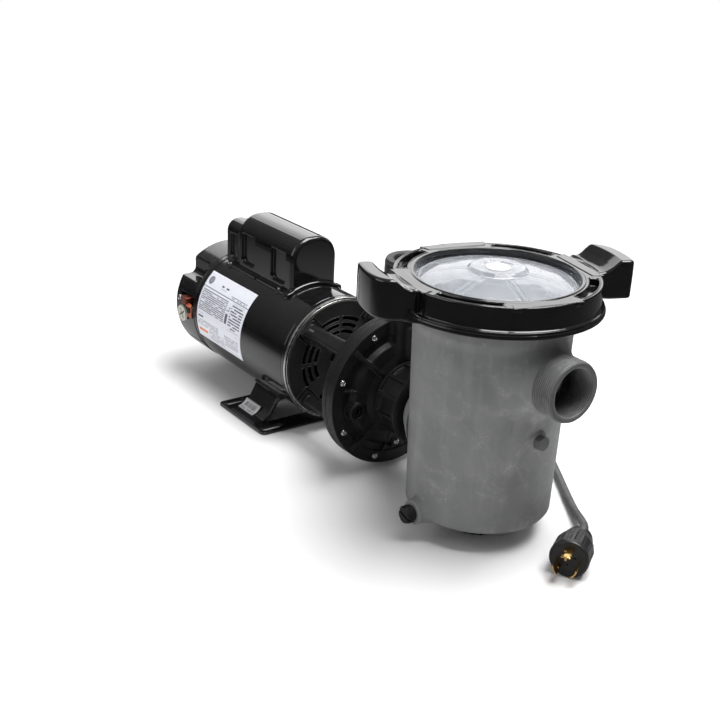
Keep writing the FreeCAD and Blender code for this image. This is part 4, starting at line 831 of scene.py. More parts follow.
def union_nut():
    shell = lathe_x([
        (200, 33.1, 0.6), (200, 39.6, 1), (201.4, 41.2, 0.8), (204, 41.2, 0.8), (205.4, 38.6, 1.5),
        (229, 38.0, 1.5), (231, 41.4, 0.9), (234.4, 41.4, 0.9), (237, 38.6, 1), (237, 28, 0.6),
        (232, 28, 0.5), (232, 36.0, 0.6), (226, 36.0, 0.6), (226, 33.1, 0.6),
    ], cell=0.25)
    ridge = around_x(lambda x, r, t: slab(
        np.maximum(np.abs(t) - (1.5 + 0.02 * np.abs(x - 216)), np.abs(r - 38) - 3.4), x, 202, 234, 0.7),
        12, math.radians(8))
    flat = around_x(lambda x, r, t: slab(smooth_max(np.abs(t) - 7.2, 37.2 - r, 0.5), x, 206.5, 228.5, 1.0),
                    12, math.radians(8) + math.pi / 12)
    nut = join(cut(shell, flat, k=0.8), ridge, k=1.0)
    carve("union_nut_moulding", nut, (200, -43, AXIS - 43), (237, 43, AXIS + 43), 0.6, body="union_nut",
          covers=["suction_union_nut"], coat=coats["matte_black"], slot="black_plastic")


SCREW_TURN = math.radians(116)
SCREW_CIRCLE = 75.6
SCREW_COUNT = 7


def screw_spots():
    angles = [SCREW_TURN + math.pi / 4 * n for n in range(SCREW_COUNT)]
    return [(SCREW_CIRCLE * math.cos(a), AXIS + SCREW_CIRCLE * math.sin(a)) for a in angles]


PAD_SCREW = (-1.0, AXIS - 57.0)
PAD_HEIGHT = 6.6
DRAIN_SPOT = (-56.2, AXIS - 9.0)


def volute():
    rear = 173.05
    front = 184.7
    neck_end = 225.0
    port_x, port_y, top = 180.0, 17.0, 236.0
    plate = lathe_x([
        (rear, 0), (rear, 84, 0.6), (front - 0.5, 84, 0.5), (front, 83.5, 0.4), (front, 70, 2),
        (front - 1.6, 69.4, 1), (front - 1.6, 61, 2), (front + 5, 57, 4), (front + 8, 45, 4),
        (front + 13.5, 37, 4), (front + 14, 33, 3), (neck_end, 33, 1), (neck_end, 22, 0.6), (front - 2, 22),
        (front - 2, 0),
    ])
    duct = prism("xy", [(rear + 0.4, port_y - 27, 7), (rear + 26, port_y - 27, 9),
                        (rear + 26, port_y + 27, 9), (rear + 0.4, port_y + 27, 7)], AXIS + 38, 199, 4)
    tower = rod_z(170, 204, 26.5, port_x, port_y, 2)
    collar = lathe_z([(0, 196), (26, 196), (31, 203, 3), (31, 209, 2), (28.8, 210.5, 1), (28.8, 235),
                      (0, 235)], port_x, port_y)
    ribs = around_x(prism("xy", [(front - 2, 36), (front - 2, 80), (front + 1.2, 79, 1),
                                 (front + 9.5, 52, 3), (front + 13, 36)], -2.1, 2.1, 0.8), 4, math.pi / 4)
    small = around_x(prism("xy", [(front - 2, 44), (front - 2, 70), (front + 1.2, 70, 1),
                                  (front + 6, 52, 2), (front + 8, 44)], -1.1, 1.1, 0.5), 4, -0.21)
    by, bz = DRAIN_SPOT
    boss = rod_x(front - 2, front + 9, 9.8, by, bz, 1.2)
    screw_pad = box(front - 2, front + PAD_HEIGHT, -7, 11, AXIS - 64, AXIS - 51, 1.0)
    seats = join(*[rod_x(front - 3, front + 0.02, 6.2, y, z, 0.6) for y, z in screw_spots()])
    solid = join(plate, ribs, small, boss, screw_pad, k=2.2)
    solid = join(solid, seats, k=1.2)
    solid = join(solid, duct, tower, k=7)
    solid = join(solid, collar, k=3)
    room = lathe_x([(rear - 2, 0), (rear - 2, 55), (rear + 11, 55), (rear + 15, 30), (rear + 18, 22),
                    (neck_end + 2, 22), (neck_end + 2, 0)])
    holes = join(*[rod_x(rear - 2, front + 3, 2.6, y, z, 0) for y, z in screw_spots()])
    piece = cut(solid, room, rod_z(184, 240, 21.6, port_x, port_y), rod_x(170, 198, 4, by, bz),
                rod_x(front + 4, front + 12, 6.6, by, bz), k=0.6)
    piece = cut(piece, holes, rod_x(front - 1, front + 9, 2.6, *PAD_SCREW, 0), k=0.2)
    carve("volute_moulding", piece, (150, -85, 4), (226, 85, 236), 0.95, covers=["volute"],
          coat=coats["matte_black"], slot="black_plastic")
    threaded_port("discharge_threads", 209.5, top, 30.2, 20.4, 1.25, (port_x, port_y, 0), (0, 0, 1),
                  "port", bore_start=186.0)
    low, high = cad_box("volute_drain_plug")
    cy, cz = (low[1] + high[1]) / 2, (low[2] + high[2]) / 2
    head = join(rod_x(low[0], high[0] - 2, 3.9, cy, cz), rod_x(high[0] - 3, high[0], 6.2, cy, cz, 0.7), k=0.3)
    socket = lambda x, y, z: np.maximum(np.abs(y - cy) + np.abs(z - cz) - 3.9, high[0] - 2.0 - x)
    carve("volute_drain_moulding", cut(head, socket, k=0.3), low, high, 0.35, body="volute_drain",
          covers=["volute_drain_plug"], coat=coats["matte_black"], slot="black_plastic")


def pan_screw(y, z, seat, turn):
    """A pan-head screw with a cross recess, its head towards +X."""
    head = lathe_x([(seat, 0), (seat, 3.55, 0.4), (seat + 1.2, 3.55, 0.8), (seat + 2.5, 2.2, 1.2),
                    (seat + 2.6, 0)], y0=y, z0=z, cell=0.1, margin=3)
    shank = rod_x(seat - 3, seat + 0.5, 2.45, y, z, 0.2)

    def cross(px, py, pz):
        u = (py - y) * math.cos(turn) + (pz - z) * math.sin(turn)
        v = -(py - y) * math.sin(turn) + (pz - z) * math.cos(turn)
        arms = np.minimum(np.maximum(np.abs(u) - 0.5, np.abs(v) - 2.0),
                          np.maximum(np.abs(v) - 0.5, np.abs(u) - 2.0))
        return np.maximum(arms, seat + 1.1 - px + np.hypot(u, v) * 0.4)
    return cut(join(head, shank), cross, k=0.25)


def flange_screws():
    flange_seat = 184.75
    spots = [(y, z, flange_seat) for y, z in screw_spots()]
    spots.append((*PAD_SCREW, flange_seat + PAD_HEIGHT))
    for n, (y, z, seat) in enumerate(spots):
        carve("flange_screw_%d" % n, pan_screw(y, z, seat, 0.4 + 1.7 * n), (seat - 3, y - 4.6, z - 4.6),
              (seat + 2.8, y + 4.6, z + 4.6), 0.24, coat=coats["stainless"], slot="stainless",
              covers=["volute_screws"] if n == 0 else ())


LEG_CIRCLE = 61.0


def seal_plate():
    back, front = 164.7, 173.0
    toe = 77.15
    disc = lathe_x([
        (151, 10.5), (151, 24, 1.5), (back, 24, 4), (back, 30, 2), (back + 1.5, 34, 2), (back + 1.5, 70, 2),
        (back, 73, 1.5), (back, 83.2, 1), (back + 1.2, 84, 0.8), (front, 84, 0.8), (front, 17.5),
        (157, 17.5), (157, 16), (152, 16), (152, 10.5),
    ])

    def leg(x, r, t):
        share = np.clip((x - toe) / (back - toe), 0, 1)
        grow = np.clip((share - 0.72) / 0.28, 0, 1) ** 2
        half_r = 5.6 + 1.6 * share + 5.0 * grow
        half_t = 7.4 + 2.2 * share + 7.0 * grow
        flat = np.hypot(np.maximum(np.abs(r - LEG_CIRCLE) - half_r + 4.4, 0),
                        np.maximum(np.abs(t) - half_t + 4.4, 0)) - 4.4
        return slab(flat, x, toe, back + 2, 1)

    def toe_plate(x, r, t):
        flat = np.hypot(np.maximum(np.abs(r - LEG_CIRCLE + 0.5) - 5.5, 0),
                        np.maximum(np.abs(t) - 9.2, 0)) - 2.2
        return slab(flat, x, toe, toe + 4.6, 0.7)
    gusset = around_x(prism("xy", [(back - 26, 52), (back - 26, 58, 2), (back + 1, 78), (back + 1, 40),
                                   (back - 8, 44, 4)], -1.8, 1.8, 0.7), 4, math.pi / 4 + 0.001)
    legs = around_x(lambda x, r, t: smooth_min(leg(x, r, t), toe_plate(x, r, t), 2.5), 4, math.pi / 4)
    hoop = around_x(box(back - 3, back + 2, 36, 72, -1.2, 1.2, 0.5), 8, 0.0)
    solid = join(join(disc, hoop, k=1.5), legs, gusset, k=4)
    bores = around_x(lambda x, r, t: np.maximum(np.hypot(r - 64, t) - 2.6, x - 94), 4, math.pi / 4)
    carve("seal_plate_moulding", cut(solid, bores, k=0.3), (77, -84.5, 4), (173.5, 84.5, 173.5), 0.95,
          covers=["seal_plate"], coat=coats["matte_black"], slot="black_plastic")


# --- motor ---------------------------------------------------------------------------------------

def motor_shell():
    """The painted shell with its rolled ends, a pressed double seam at the rear and a weld line."""
    x0, x1 = shell_low[0], shell_high[0]
    r = SHELL_R
    turned_piece("shell_skin", [
        (x0, r - 2.2), (x0, r - 0.2, 0.3), (x0 + 0.8, r + 0.25, 0.4), (x0 + 1.8, r + 0.25, 0.5),
        (x0 + 2.4, r - 0.9, 0.5), (x0 + 3.3, r - 0.9, 0.5), (x0 + 3.9, r, 0.5), (x0 + 5.4, r, 0.4),
        (x0 + 5.9, r - 0.5, 0.3), (x0 + 6.5, r - 0.5, 0.3), (x0 + 7.0, r, 0.4),
        (x1 - 6.4, r, 0.6), (x1 - 5.8, r - 0.35, 0.4), (x1 - 5.0, r - 0.35, 0.4), (x1 - 4.4, r, 0.6),
        (x1 - 0.3, r, 0.3), (x1, r - 0.4, 0.3), (x1, r - 2.2),
    ], (0, 0, AXIS), (1, 0, 0), sides=288, covers=["motor_shell"], coat=coats["enamel"],
        slot="motor_enamel")
    bead = prism("yz", [(-2.2, AXIS - r - 0.35, 0.4), (2.2, AXIS - r - 0.35, 0.4),
                        (3.4, AXIS - r + 0.6), (-3.4, AXIS - r + 0.6)], x0 + 8, x1 - 8, 0.3)
    carve("shell_weld_bead", bead, (x0 + 7, -4, AXIS - r - 1), (x1 - 7, 4, AXIS - r + 1), 0.6,
          coat=coats["enamel"], slot="motor_enamel")


def vent_disc():
    """The grained front disc with three rows of vents in eight groups and raised toe outlines."""
    back, front = 74.05, 77.05
    disc = lathe_x([(back, 12.5), (back, 69.6, 0.5), (front - 0.4, 69.6, 0.5), (front, 68.8, 0.5),
                    (front, 12.5)], cell=0.2, margin=8)

    def openings(r, t):
        """Distance to the vents' outlines: three arcs on each side of the spoke."""
        radius = np.hypot(r, t)
        side = np.radians(np.abs(np.abs(np.degrees(np.arctan2(t, r))) - 17) - 14.2) * radius
        ring = np.minimum(np.minimum(np.abs(radius - 33), np.abs(radius - 41)), np.abs(radius - 49))
        return smooth_max(ring - 2.1, side, 1.5)

    def vents(x, r, t):
        return slab(openings(r, t), x, back - 2, front + 2, 0)

    def lips(x, r, t):
        return slab(np.abs(openings(r, t) - 0.4) - 0.4, x, front - 1, front + 0.35, 0.15)
    toes = around_x(lambda x, r, t: slab(np.abs(smooth_max(np.abs(r - 59) - 9.6, np.abs(t) - 13.6, 3)) - 0.7,
                                         x, front - 1, front + 0.9, 0.3), 4, math.pi / 4)
    holes = around_x(lambda x, r, t: np.hypot(r - 64, t) - 2.7, 4, math.pi / 4)
    piece = join(disc, around_x(lips, 4), k=0.2)
    piece = cut(join(piece, toes, k=0.5), around_x(vents, 4), holes, k=0.3)
    inside = lathe_x([(back - 1, 0), (back - 1, 69.6), (front + 3, 69.6), (front + 3, 0)])
    carve("vent_disc_moulding", common(piece, inside, 0.3), (back, -70, AXIS - 70),
          (front + 1, 70, AXIS + 70), 0.5, covers=["front_grille"], coat=coats["disc"],
          slot="black_plastic")


def bright_rim():
    """The machined rim that shows between the shell and the front disc."""
    x = shell_high[0]
    turned_piece("bright_rim", [
        (x + 0.05, SHELL_R - 4), (x + 0.05, SHELL_R - 0.3, 0.2), (x + 0.4, SHELL_R + 0.05, 0.2),
        (x + 2.6, SHELL_R + 0.05, 0.3), (x + 3.0, SHELL_R - 0.4, 0.25), (x + 3.0, SHELL_R - 1.9, 0.2),
        (x + 3.4, SHELL_R - 2.3, 0.2), (x + 3.4, SHELL_R - 4),
    ], (0, 0, AXIS), (1, 0, 0), sides=288, coat=coats["cast"], slot="bracket_cast")


def rear_canopy():
    """The rear cover with two stepped notches, louvres, side windows and a seam low on its side."""
    x0, x1 = rear_low[0], rear_high[0]
    r = 73.0
    skin = lathe_x([(x0, 0), (x0, r, 4.5), (x1 - 1.6, r, 0.8), (x1, r - 1.2, 0.6), (x1, 0)])
    notch = mirrored_y(lambda x, y, z: slab(smooth_max(44.0 - y, AXIS + 36.2 - z, 9), x, x0 - 9, x1 - 10,
                                            2.5))
    step = mirrored_y(box(x1 - 12, x1 - 3.4, 47, 61, AXIS + 20, AXIS + 60, 1.5))
    inner = lathe_x([(x0 + 2.8, 0), (x0 + 2.8, r - 3, 2.5), (x1 + 3, r - 3), (x1 + 3, 0)])
    shield = mirrored_y(lambda x, y, z: smooth_max(41.3 - y, AXIS + 33.4 - z, 7))
    hollow = cut(inner, shield)
    louvre = join(*[box(x0 - 4, x0 + 6, -26, 26, AXIS - 52 + 9 * row, AXIS - 48 + 9 * row, 1.6)
                    for row in range(5)])
    lip = join(*[box(x0 - 0.9, x0 + 2, -27.5, 27.5, AXIS - 47.6 + 9 * row, AXIS - 46.2 + 9 * row, 0.6)
                 for row in range(5)])
    lug_window = box(-171, -139.2, -90, -55, AXIS + 6, AXIS + 19, 1.5)
    tongue_window = box(-150, -139.2, -90, -60, AXIS - 9, AXIS + 9, 1.5)
    dial_hole = rod_y(-90, -60, 8.2, -162.2, 81.7, 0)
    cord_hole = rod_y(60, 90, 8.2, -160, 64.9, 0)
    seam = lambda x, y, z: slab(np.maximum(np.abs(z - (AXIS - 43) - (x + 160) * 0.06) - 0.5,
                                           71.2 - np.hypot(y, z - AXIS)), x, x0 + 9, x1 + 2, 0)
    cover = cut(skin, notch, k=1.6)
    cover = join(cover, lip, k=0.6)
    cover = cut(cover, hollow, step, louvre, k=0.6)
    cover = cut(cover, lug_window, tongue_window, dial_hole, cord_hole, seam, k=0.6)
    carve("rear_canopy_moulding", cover, (x0 - 1, -74, AXIS - 74), (x1, 74, AXIS + 74), 0.85,
          covers=["rear_cover"], coat=coats["cover"], slot="motor_plastic")


def arch_shape(half, base, top, corner):
    return [(-half, base), (half, base), (half, top, corner), (-half, top, corner)]


def capacitor_cover():
    """The tall glossy cover: domed top, step at the rear, side recesses, base strips and a front lip."""
    x0, x1 = cover_low[0], cover_high[0] - 2
    step_x = x0 + 28
    top = cover_high[2]
    half = 31.0
    main = prism("yz", arch_shape(half, 120, top, 27), step_x, x1, 5.5)
    rear = prism("yz", arch_shape(half - 1, 120, top - 12, 14), x0, step_x + 12, 2.5)
    flange = prism("xy", [(x0 + 8, -36, 1), (x1 - 7, -36, 1), (x1 - 7, 36, 1), (x0 + 8, 36, 1)],
                   AXIS + 60, AXIS + 66.4, 0.9)
    gap = mirrored_y(box(-53, -49.5, 31.5, 40, 130, 160, 0.5))
    ear = join(*[rod_z(AXIS + 60, AXIS + 66.4, 4.6, x, y, 0.9) for x in (-111, -1)
                 for y in (-33.8, 33.8)])
    lip = lambda x, y, z: slab(smooth_max(np.abs(np.hypot(y, z - AXIS) - SHELL_R - 1.6) - 1.7,
                                          np.abs(y) - 38.4, 2), x, x1 - 4, x1 + 2, 1.2)
    tab = mirrored_y(box(x1 - 8, x1 + 1.8, 29, 37.5, AXIS + 60, AXIS + 67.5, 1.6))
    solid = join(main, rear, k=1.5)
    solid = join(solid, flange, k=1.6)
    solid = join(cut(solid, gap, k=0.5), ear, k=1)
    solid = join(solid, lip, tab, k=3)
    tools = []
    for start, width, low, high in ((-120, 18, 72, 103), (-92, 30, 74, 110), (-25, 31, 73, 110)):
        outline = [(start, AXIS + low, 6), (start + width, AXIS + low, 6),
                   (start + width, AXIS + high, 2.5), (start, AXIS + high, 2.5)]
        tools.append(mirrored_y(prism("xz", outline, half - 4.2, half + 12, 1.0)))
    solid = cut(solid, *tools, k=1.6)
    back_notch = box(x0 - 4, x0 + 7, -9, 9, top - 20, top - 8, 1.5)
    saddle = lambda x, y, z: np.hypot(y, z - AXIS) - SHELL_R - 0.15
    room = prism("yz", arch_shape(half - 6, 100, top - 3, 22), step_x + 3, x1 - 3, 2)
    room_rear = prism("yz", arch_shape(half - 7, 100, top - 15, 10), x0 + 3, step_x + 6, 1)
    solid = cut(cut(solid, back_notch, k=1.5), saddle, room, room_rear, k=0.3)
    carve("capacitor_cover_moulding", solid, (x0 - 1, -46, AXIS + 50), (x1 + 3, 46, top), 0.75,
          covers=["capacitor_cover"], coat=coats["gloss_black"], slot="motor_plastic")


def curved_sheet(name, x0, x1, angle0, angle1, radius, thickness, rows, cols, coat, slot, covers=()):
    """A thin curved sheet about the shaft, with a UV map that runs 0..1 along and around it."""
    xs = np.linspace(x0, x1, cols)
    angles = np.radians(np.linspace(angle0, angle1, rows))
    grid_x, grid_a = np.meshgrid(xs, angles)
    layers = []
    for level in (radius + thickness, radius):
        layers.append(np.stack([grid_x, level * np.cos(grid_a), AXIS + level * np.sin(grid_a)], -1)
                      .reshape(-1, 3))
    count = rows * cols
    top = grid_faces(rows, cols)
    bottom = top[:, ::-1] + count
    rim = ([(0, c) for c in range(cols)] + [(r, cols - 1) for r in range(1, rows)]
           + [(rows - 1, c) for c in range(cols - 2, -1, -1)] + [(r, 0) for r in range(rows - 2, 0, -1)])
    index = [r * cols + c for r, c in rim]
    walls = np.array([[index[n], index[(n + 1) % len(index)], index[(n + 1) % len(index)] + count,
                       index[n] + count] for n in range(len(index))])
    faces = np.concatenate([top, bottom, walls])
    piece = mesh_piece(name, np.concatenate(layers) * MM, faces, covers=covers, coat=coat, slot=slot)
    uv = piece.data.uv_layers.new(name="print")
    spread = np.stack([(grid_x.ravel() - x0) / (x1 - x0),
                       (grid_a.ravel() - angles[0]) / (angles[-1] - angles[0])], -1)
    spread = np.concatenate([spread, spread])
    loops = np.zeros(len(piece.data.loops), np.int32)
    piece.data.loops.foreach_get("vertex_index", loops)
    uv.data.foreach_set("uv", spread[loops].astype(np.float32).ravel())
    return piece


LABEL_ROUGHNESS = 0.32


def printed(name, paper, marks):
    """A printed label: marks(n, u, v) gives a list of (mask socket, ink colour)."""
    material = bpy.data.materials.new(name)
    material.use_nodes = True
    n = Nodes(material)
    uv = n.add("UVMap", uv_map="print")
    parts = n.add("SeparateXYZ", inputs={"Vector": uv.outputs[0]})
    tint = n.mix(n.noise(40, 3), [c * 0.96 for c in paper], paper)
    for mask, ink in marks(n, parts.outputs["X"], parts.outputs["Y"]):
        tint = n.mix(mask, tint, ink)
    shader = n.add("BsdfPrincipled", inputs={
        "Base Color": tint, "Specular IOR Level": 0.45, "Roughness": n.remap(
            n.noise(160, 3), 0.3, 0.7, LABEL_ROUGHNESS - 0.06, LABEL_ROUGHNESS + 0.08)})
    n.set(shader, "Normal", n.bump(n.noise(500, 2), 0.15, 0.05))
    out = n.add("OutputMaterial")
    n.tree.links.new(shader.outputs[0], out.inputs["Surface"])
    return material


def window(n, u, v, u0, u1, v0, v1):
    """1 inside a rectangle of the label, 0 outside."""
    a = n.math("MULTIPLY", n.math("GREATER_THAN", u, u0), n.math("LESS_THAN", u, u1))
    b = n.math("MULTIPLY", n.math("GREATER_THAN", v, v0), n.math("LESS_THAN", v, v1))
    return n.math("MULTIPLY", a, b)


def fine_print(n, u, v, where, rows, across, density):
    """Rows of broken dashes that read as small print from a distance."""
    line = n.math("FRACT", n.math("MULTIPLY", v, float(rows)))
    on_line = n.math("LESS_THAN", line, 0.5)
    row = n.math("FLOOR", n.math("MULTIPLY", v, float(rows)))
    spot = n.add("CombineXYZ", inputs={"X": n.math("MULTIPLY", u, float(across)),
                                       "Y": n.math("MULTIPLY", row, 7.31), "Z": where[0] * 9.0})
    dash = n.add("TexNoise", inputs={"Vector": spot.outputs[0], "Scale": 1.0, "Detail": 2.0})
    word = n.add("TexNoise", inputs={"Vector": spot.outputs[0], "Scale": 0.16, "Detail": 0.0})
    ink = n.math("MULTIPLY", n.math("GREATER_THAN", dash.outputs["Fac"], 1 - density),
                 n.math("GREATER_THAN", word.outputs["Fac"], 0.36))
    return n.math("MULTIPLY", n.math("MULTIPLY", on_line, ink), window(n, u, v, *where))


def ring_mark(n, u, v, cu, cv, outer, inner, aspect):
    du = n.math("MULTIPLY", n.math("SUBTRACT", u, cu), aspect)
    dv = n.math("SUBTRACT", v, cv)
    far = n.math("SQRT", n.math("ADD", n.math("MULTIPLY", du, du), n.math("MULTIPLY", dv, dv)))
    return n.math("MULTIPLY", n.math("LESS_THAN", far, outer), n.math("GREATER_THAN", far, inner))


def nameplate():
    """The white data plate with generic print: blocks, dashes, a round mark and an orange bar."""
    dark = (0.12, 0.13, 0.17)
    grey = (0.3, 0.31, 0.36)
    aspect = 105 / 87

    def marks(n, u, v):
        up = n.math("SUBTRACT", 1.0, v)
        found = [
            (window(n, u, up, 0.0, 1.0, 0.755, 0.766), dark),
            (ring_mark(n, u, up, 0.09, 0.87, 0.062, 0.0, aspect), dark),
            (ring_mark(n, u, up, 0.09, 0.87, 0.051, 0.047, aspect), (0.8, 0.82, 0.86)),
            (ring_mark(n, u, up, 0.09, 0.87, 0.024, 0.017, aspect), (0.8, 0.82, 0.86)),
            (fine_print(n, u, up, (0.34, 0.5, 0.82, 0.88), 20, 56, 0.7), dark),
            (fine_print(n, u, up, (0.6, 0.95, 0.77, 0.81), 40, 120, 0.62), dark),
            (fine_print(n, u, up, (0.03, 0.6, 0.42, 0.735), 38, 120, 0.68), dark),
            (fine_print(n, u, up, (0.62, 0.68, 0.6, 0.66), 22, 50, 0.7), dark),
            (fine_print(n, u, up, (0.7, 0.96, 0.36, 0.735), 26, 90, 0.62), dark),
            (window(n, u, up, 0.62, 0.67, 0.42, 0.56), dark),
            (fine_print(n, u, up, (0.04, 0.15, 0.3, 0.38), 16, 40, 0.72), dark),
            (fine_print(n, u, up, (0.03, 0.5, 0.19, 0.29), 44, 150, 0.62), grey),
            (fine_print(n, u, up, (0.28, 0.62, 0.04, 0.18), 46, 150, 0.62), grey),
            (window(n, u, up, 0.04, 0.24, 0.1, 0.145), (0.8, 0.22, 0.07)),
            (fine_print(n, u, up, (0.64, 0.95, 0.1, 0.26), 30, 110, 0.6), grey),
        ]
        return found
    coat = printed("data_plate_print", (0.86, 0.88, 0.95), marks)
    low, high = cad_box("nameplate")
    top_angle, bottom_angle = 131.7, 200.8
    gap, thickness = 0.06, 0.28
    curved_sheet("data_plate", low[0], high[0], top_angle, bottom_angle, SHELL_R + gap, thickness, 60, 40,
                 coat, "white_label", covers=["nameplate"])


def bonding_lug():
    low, high = cad_box("bonding_lug")
    block = box(low[0], low[0] + 15, -79, -66, AXIS + 8.4, AXIS + 17, 1.0)
    tongue = box(high[0] - 8.5, high[0], -75.6, -73.6, AXIS - 8, AXIS + 10, 0.5)
    bend = box(high[0] - 10, high[0], -78, -73.6, AXIS + 6.6, AXIS + 8.9, 1.0)
    hole = rod_x(low[0] - 2, low[0] + 8.5, 2.05, -75.6, AXIS + 12.2, 0)
    wire = rod_z(80, 120, 2.6, low[0] + 11.5, -70.4, 0)
    step = box(low[0] - 1, low[0] + 2.6, -90, -77.4, AXIS, AXIS + 30, 0.4)
    piece = cut(cut(block, step, k=0.8), hole, wire, k=0.5)
    carve("bonding_lug_block", piece, (low[0], -80, AXIS + 8), (low[0] + 15, -65, AXIS + 17), 0.3,
          covers=["bonding_lug"], coat=coats["copper"], slot="copper")
    carve("bonding_tongue", join(tongue, bend, k=1.2), (high[0] - 11, -79, AXIS - 9),
          (high[0], -73, AXIS + 11), 0.3, coat=coats["copper_bright"], slot="copper")
    nut = lathe_y([(75.6, 0), (75.6, 3.7, 0.4), (77.4, 3.6, 0.8), (77.8, 2.2, 0.4), (77.8, 0)],
                  high[0] - 4.2, AXIS + 1.4, cell=0.15, margin=6)
    slit = lambda x, y, z: np.maximum(np.abs((x - high[0] + 4.2) * 0.8 + (z - AXIS - 1.4) * 0.6) - 0.4,
                                      y + 77.0)
    carve("tongue_screw", cut(nut, slit, k=0.2), (high[0] - 9, -78, AXIS - 3), (high[0], -75, AXIS + 6),
          0.26, coat=coats["plug"], slot="black_plastic")
    low, high = cad_box("bonding_screw")
    y, z = (low[1] + high[1]) / 2, (low[2] + high[2]) / 2
    head = lathe_x([(low[0], 0), (low[0], 2.9, 0.7), (low[0] + 1, 3.4, 0.4), (low[0] + 4, 3.4, 0.4),
                    (low[0] + 4, 2.0, 0.2), (high[0], 1.9, 0.2), (high[0], 0)], y0=y, z0=z, cell=0.15,
                   margin=5)
    thread = lambda px, py, pz: head(px, py, pz) + 0.18 * np.maximum(
        np.sin((px - low[0]) * 2 * math.pi / 0.9 - np.arctan2(pz - z, py - y)), 0) * (px > low[0] + 4.4)
    slit = lambda px, py, pz: np.maximum(np.abs(pz - z) - 0.6, px - low[0] - 1.6)
    carve("bonding_screw_turned", cut(thread, slit, k=0.2), low, high, 0.26, covers=["bonding_screw"],
          coat=coats["stainless"], slot="stainless")


def selector_dial():
    low, high = cad_box("selector_dial")
    x, z = (low[0] + high[0]) / 2, (low[2] + high[2]) / 2
    face = -low[1]
    disc = lathe_y([(62.4, 0), (62.4, 8.1, 0.4), (face - 3.4, 8.1, 0.3), (face - 3.4, 10.4, 0.4),
                    (face - 0.6, 10.4, 0.7), (face, 9.6, 0.4), (face, 8.6, 0.3), (face - 0.5, 8.2, 0.3),
                    (face - 0.5, 0)], x, z, cell=0.15, margin=5)
    turn = math.radians(35)

    def cross(px, py, pz):
        u = (px - x) * math.cos(turn) + (pz - z) * math.sin(turn)
        v = -(px - x) * math.sin(turn) + (pz - z) * math.cos(turn)
        arms = np.minimum(np.maximum(np.abs(u) - 0.95, np.abs(v) - 7.4),
                          np.maximum(np.abs(v) - 0.95, np.abs(u) - 7.4))
        return np.maximum(arms, py + face - 2.6)

    def ticks(px, py, pz):
        angle = np.arctan2(pz - z, px - x)
        angle = (angle + math.pi / 4) % (math.pi / 2) - math.pi / 4
        r = np.hypot(px - x, pz - z)
        line = np.maximum(np.abs(r * np.sin(angle)) - 0.35, np.abs(r - 9.1) - 0.8)
        return np.maximum(line, py + face - 0.7)
    carve("dial_moulding", cut(disc, cross, ticks, k=0.2), low, high, 0.28, body="selector_dial",
          covers=["selector_dial"], coat=coats["dial"], slot="dial_plastic")
    # Painted shadow: a thin near-black sheet set just inside the cross recess, where shade falls.
    dark = surface("dial_slot_shadow", (0.01, 0.01, 0.01), 0.6, spread=0.2)
    well = lambda px, py, pz: np.maximum(cross(px, py, pz) + 0.12, -(py + face - 1.2))
    carve("dial_slot_painted_shadow", well, (x - 8, -face, z - 8), (x + 8, -face + 3, z + 8), 0.25,
          body="selector_dial", coat=dark, slot="dial_plastic")


def motor_foot():
    """The stamped foot: base with four slots and edge lips, and two curved webs up to the shell."""
    x0, x1 = foot_low[0], foot_high[0]
    half = foot_high[1]
    gauge = 3.4
    base = prism("xy", [(x0, -half, 6), (x1, -half, 6), (x1, half, 6), (x0, half, 6)], 0.1, gauge, 0.7)
    opening = prism("xy", [(-25.5, -63, 5), (25.5, -63, 5), (25.5, 63, 5), (-25.5, 63, 5)], -3, gauge + 3, 0)
    slots = mirrored_y(lambda x, y, z: np.minimum(
        np.hypot(x - 42, np.maximum(np.abs(y - 68) - 8.65, 0)) - 4.3,
        np.hypot(x + 42, np.maximum(np.abs(y - 68) - 8.65, 0)) - 4.3))
    rims = mirrored_y(lambda x, y, z: slab(np.abs(np.minimum(
        np.hypot(x - 42, np.maximum(np.abs(y - 68) - 8.65, 0)),
        np.hypot(x + 42, np.maximum(np.abs(y - 68) - 8.65, 0))) - 4.9) - 0.6, z, 2, gauge + 0.35, 0.3))
    web = mirrored_y(prism("yz", [
        (81.5, 1.0), (81.5, 4.0, 2), (70, 5.4, 8), (60.6, 11.4, 14), (51, 28.5, 5), (49.5, 32.6, 1),
        (44.9, 28.9, 0.6), (44.9, 25, 1), (47.2, 25, 3), (58, 8.6, 14), (69, 1.8, 5),
    ], -25, 25, 0.8))
    edge = mirrored_y(box(x0 + 8, x1 - 8, half - 1.9, half, 1, gauge + 1.5, 0.8))
    solid = join(cut(base, opening, k=0.8), web, k=2.5)
    solid = join(solid, rims, edge, k=0.8)
    carve("foot_stamping", cut(solid, slots, k=0.7), (x0, -half, 0), (x1, half, 34), 0.75,
          covers=["motor_foot"], coat=coats["stamped"], slot="foot_enamel")


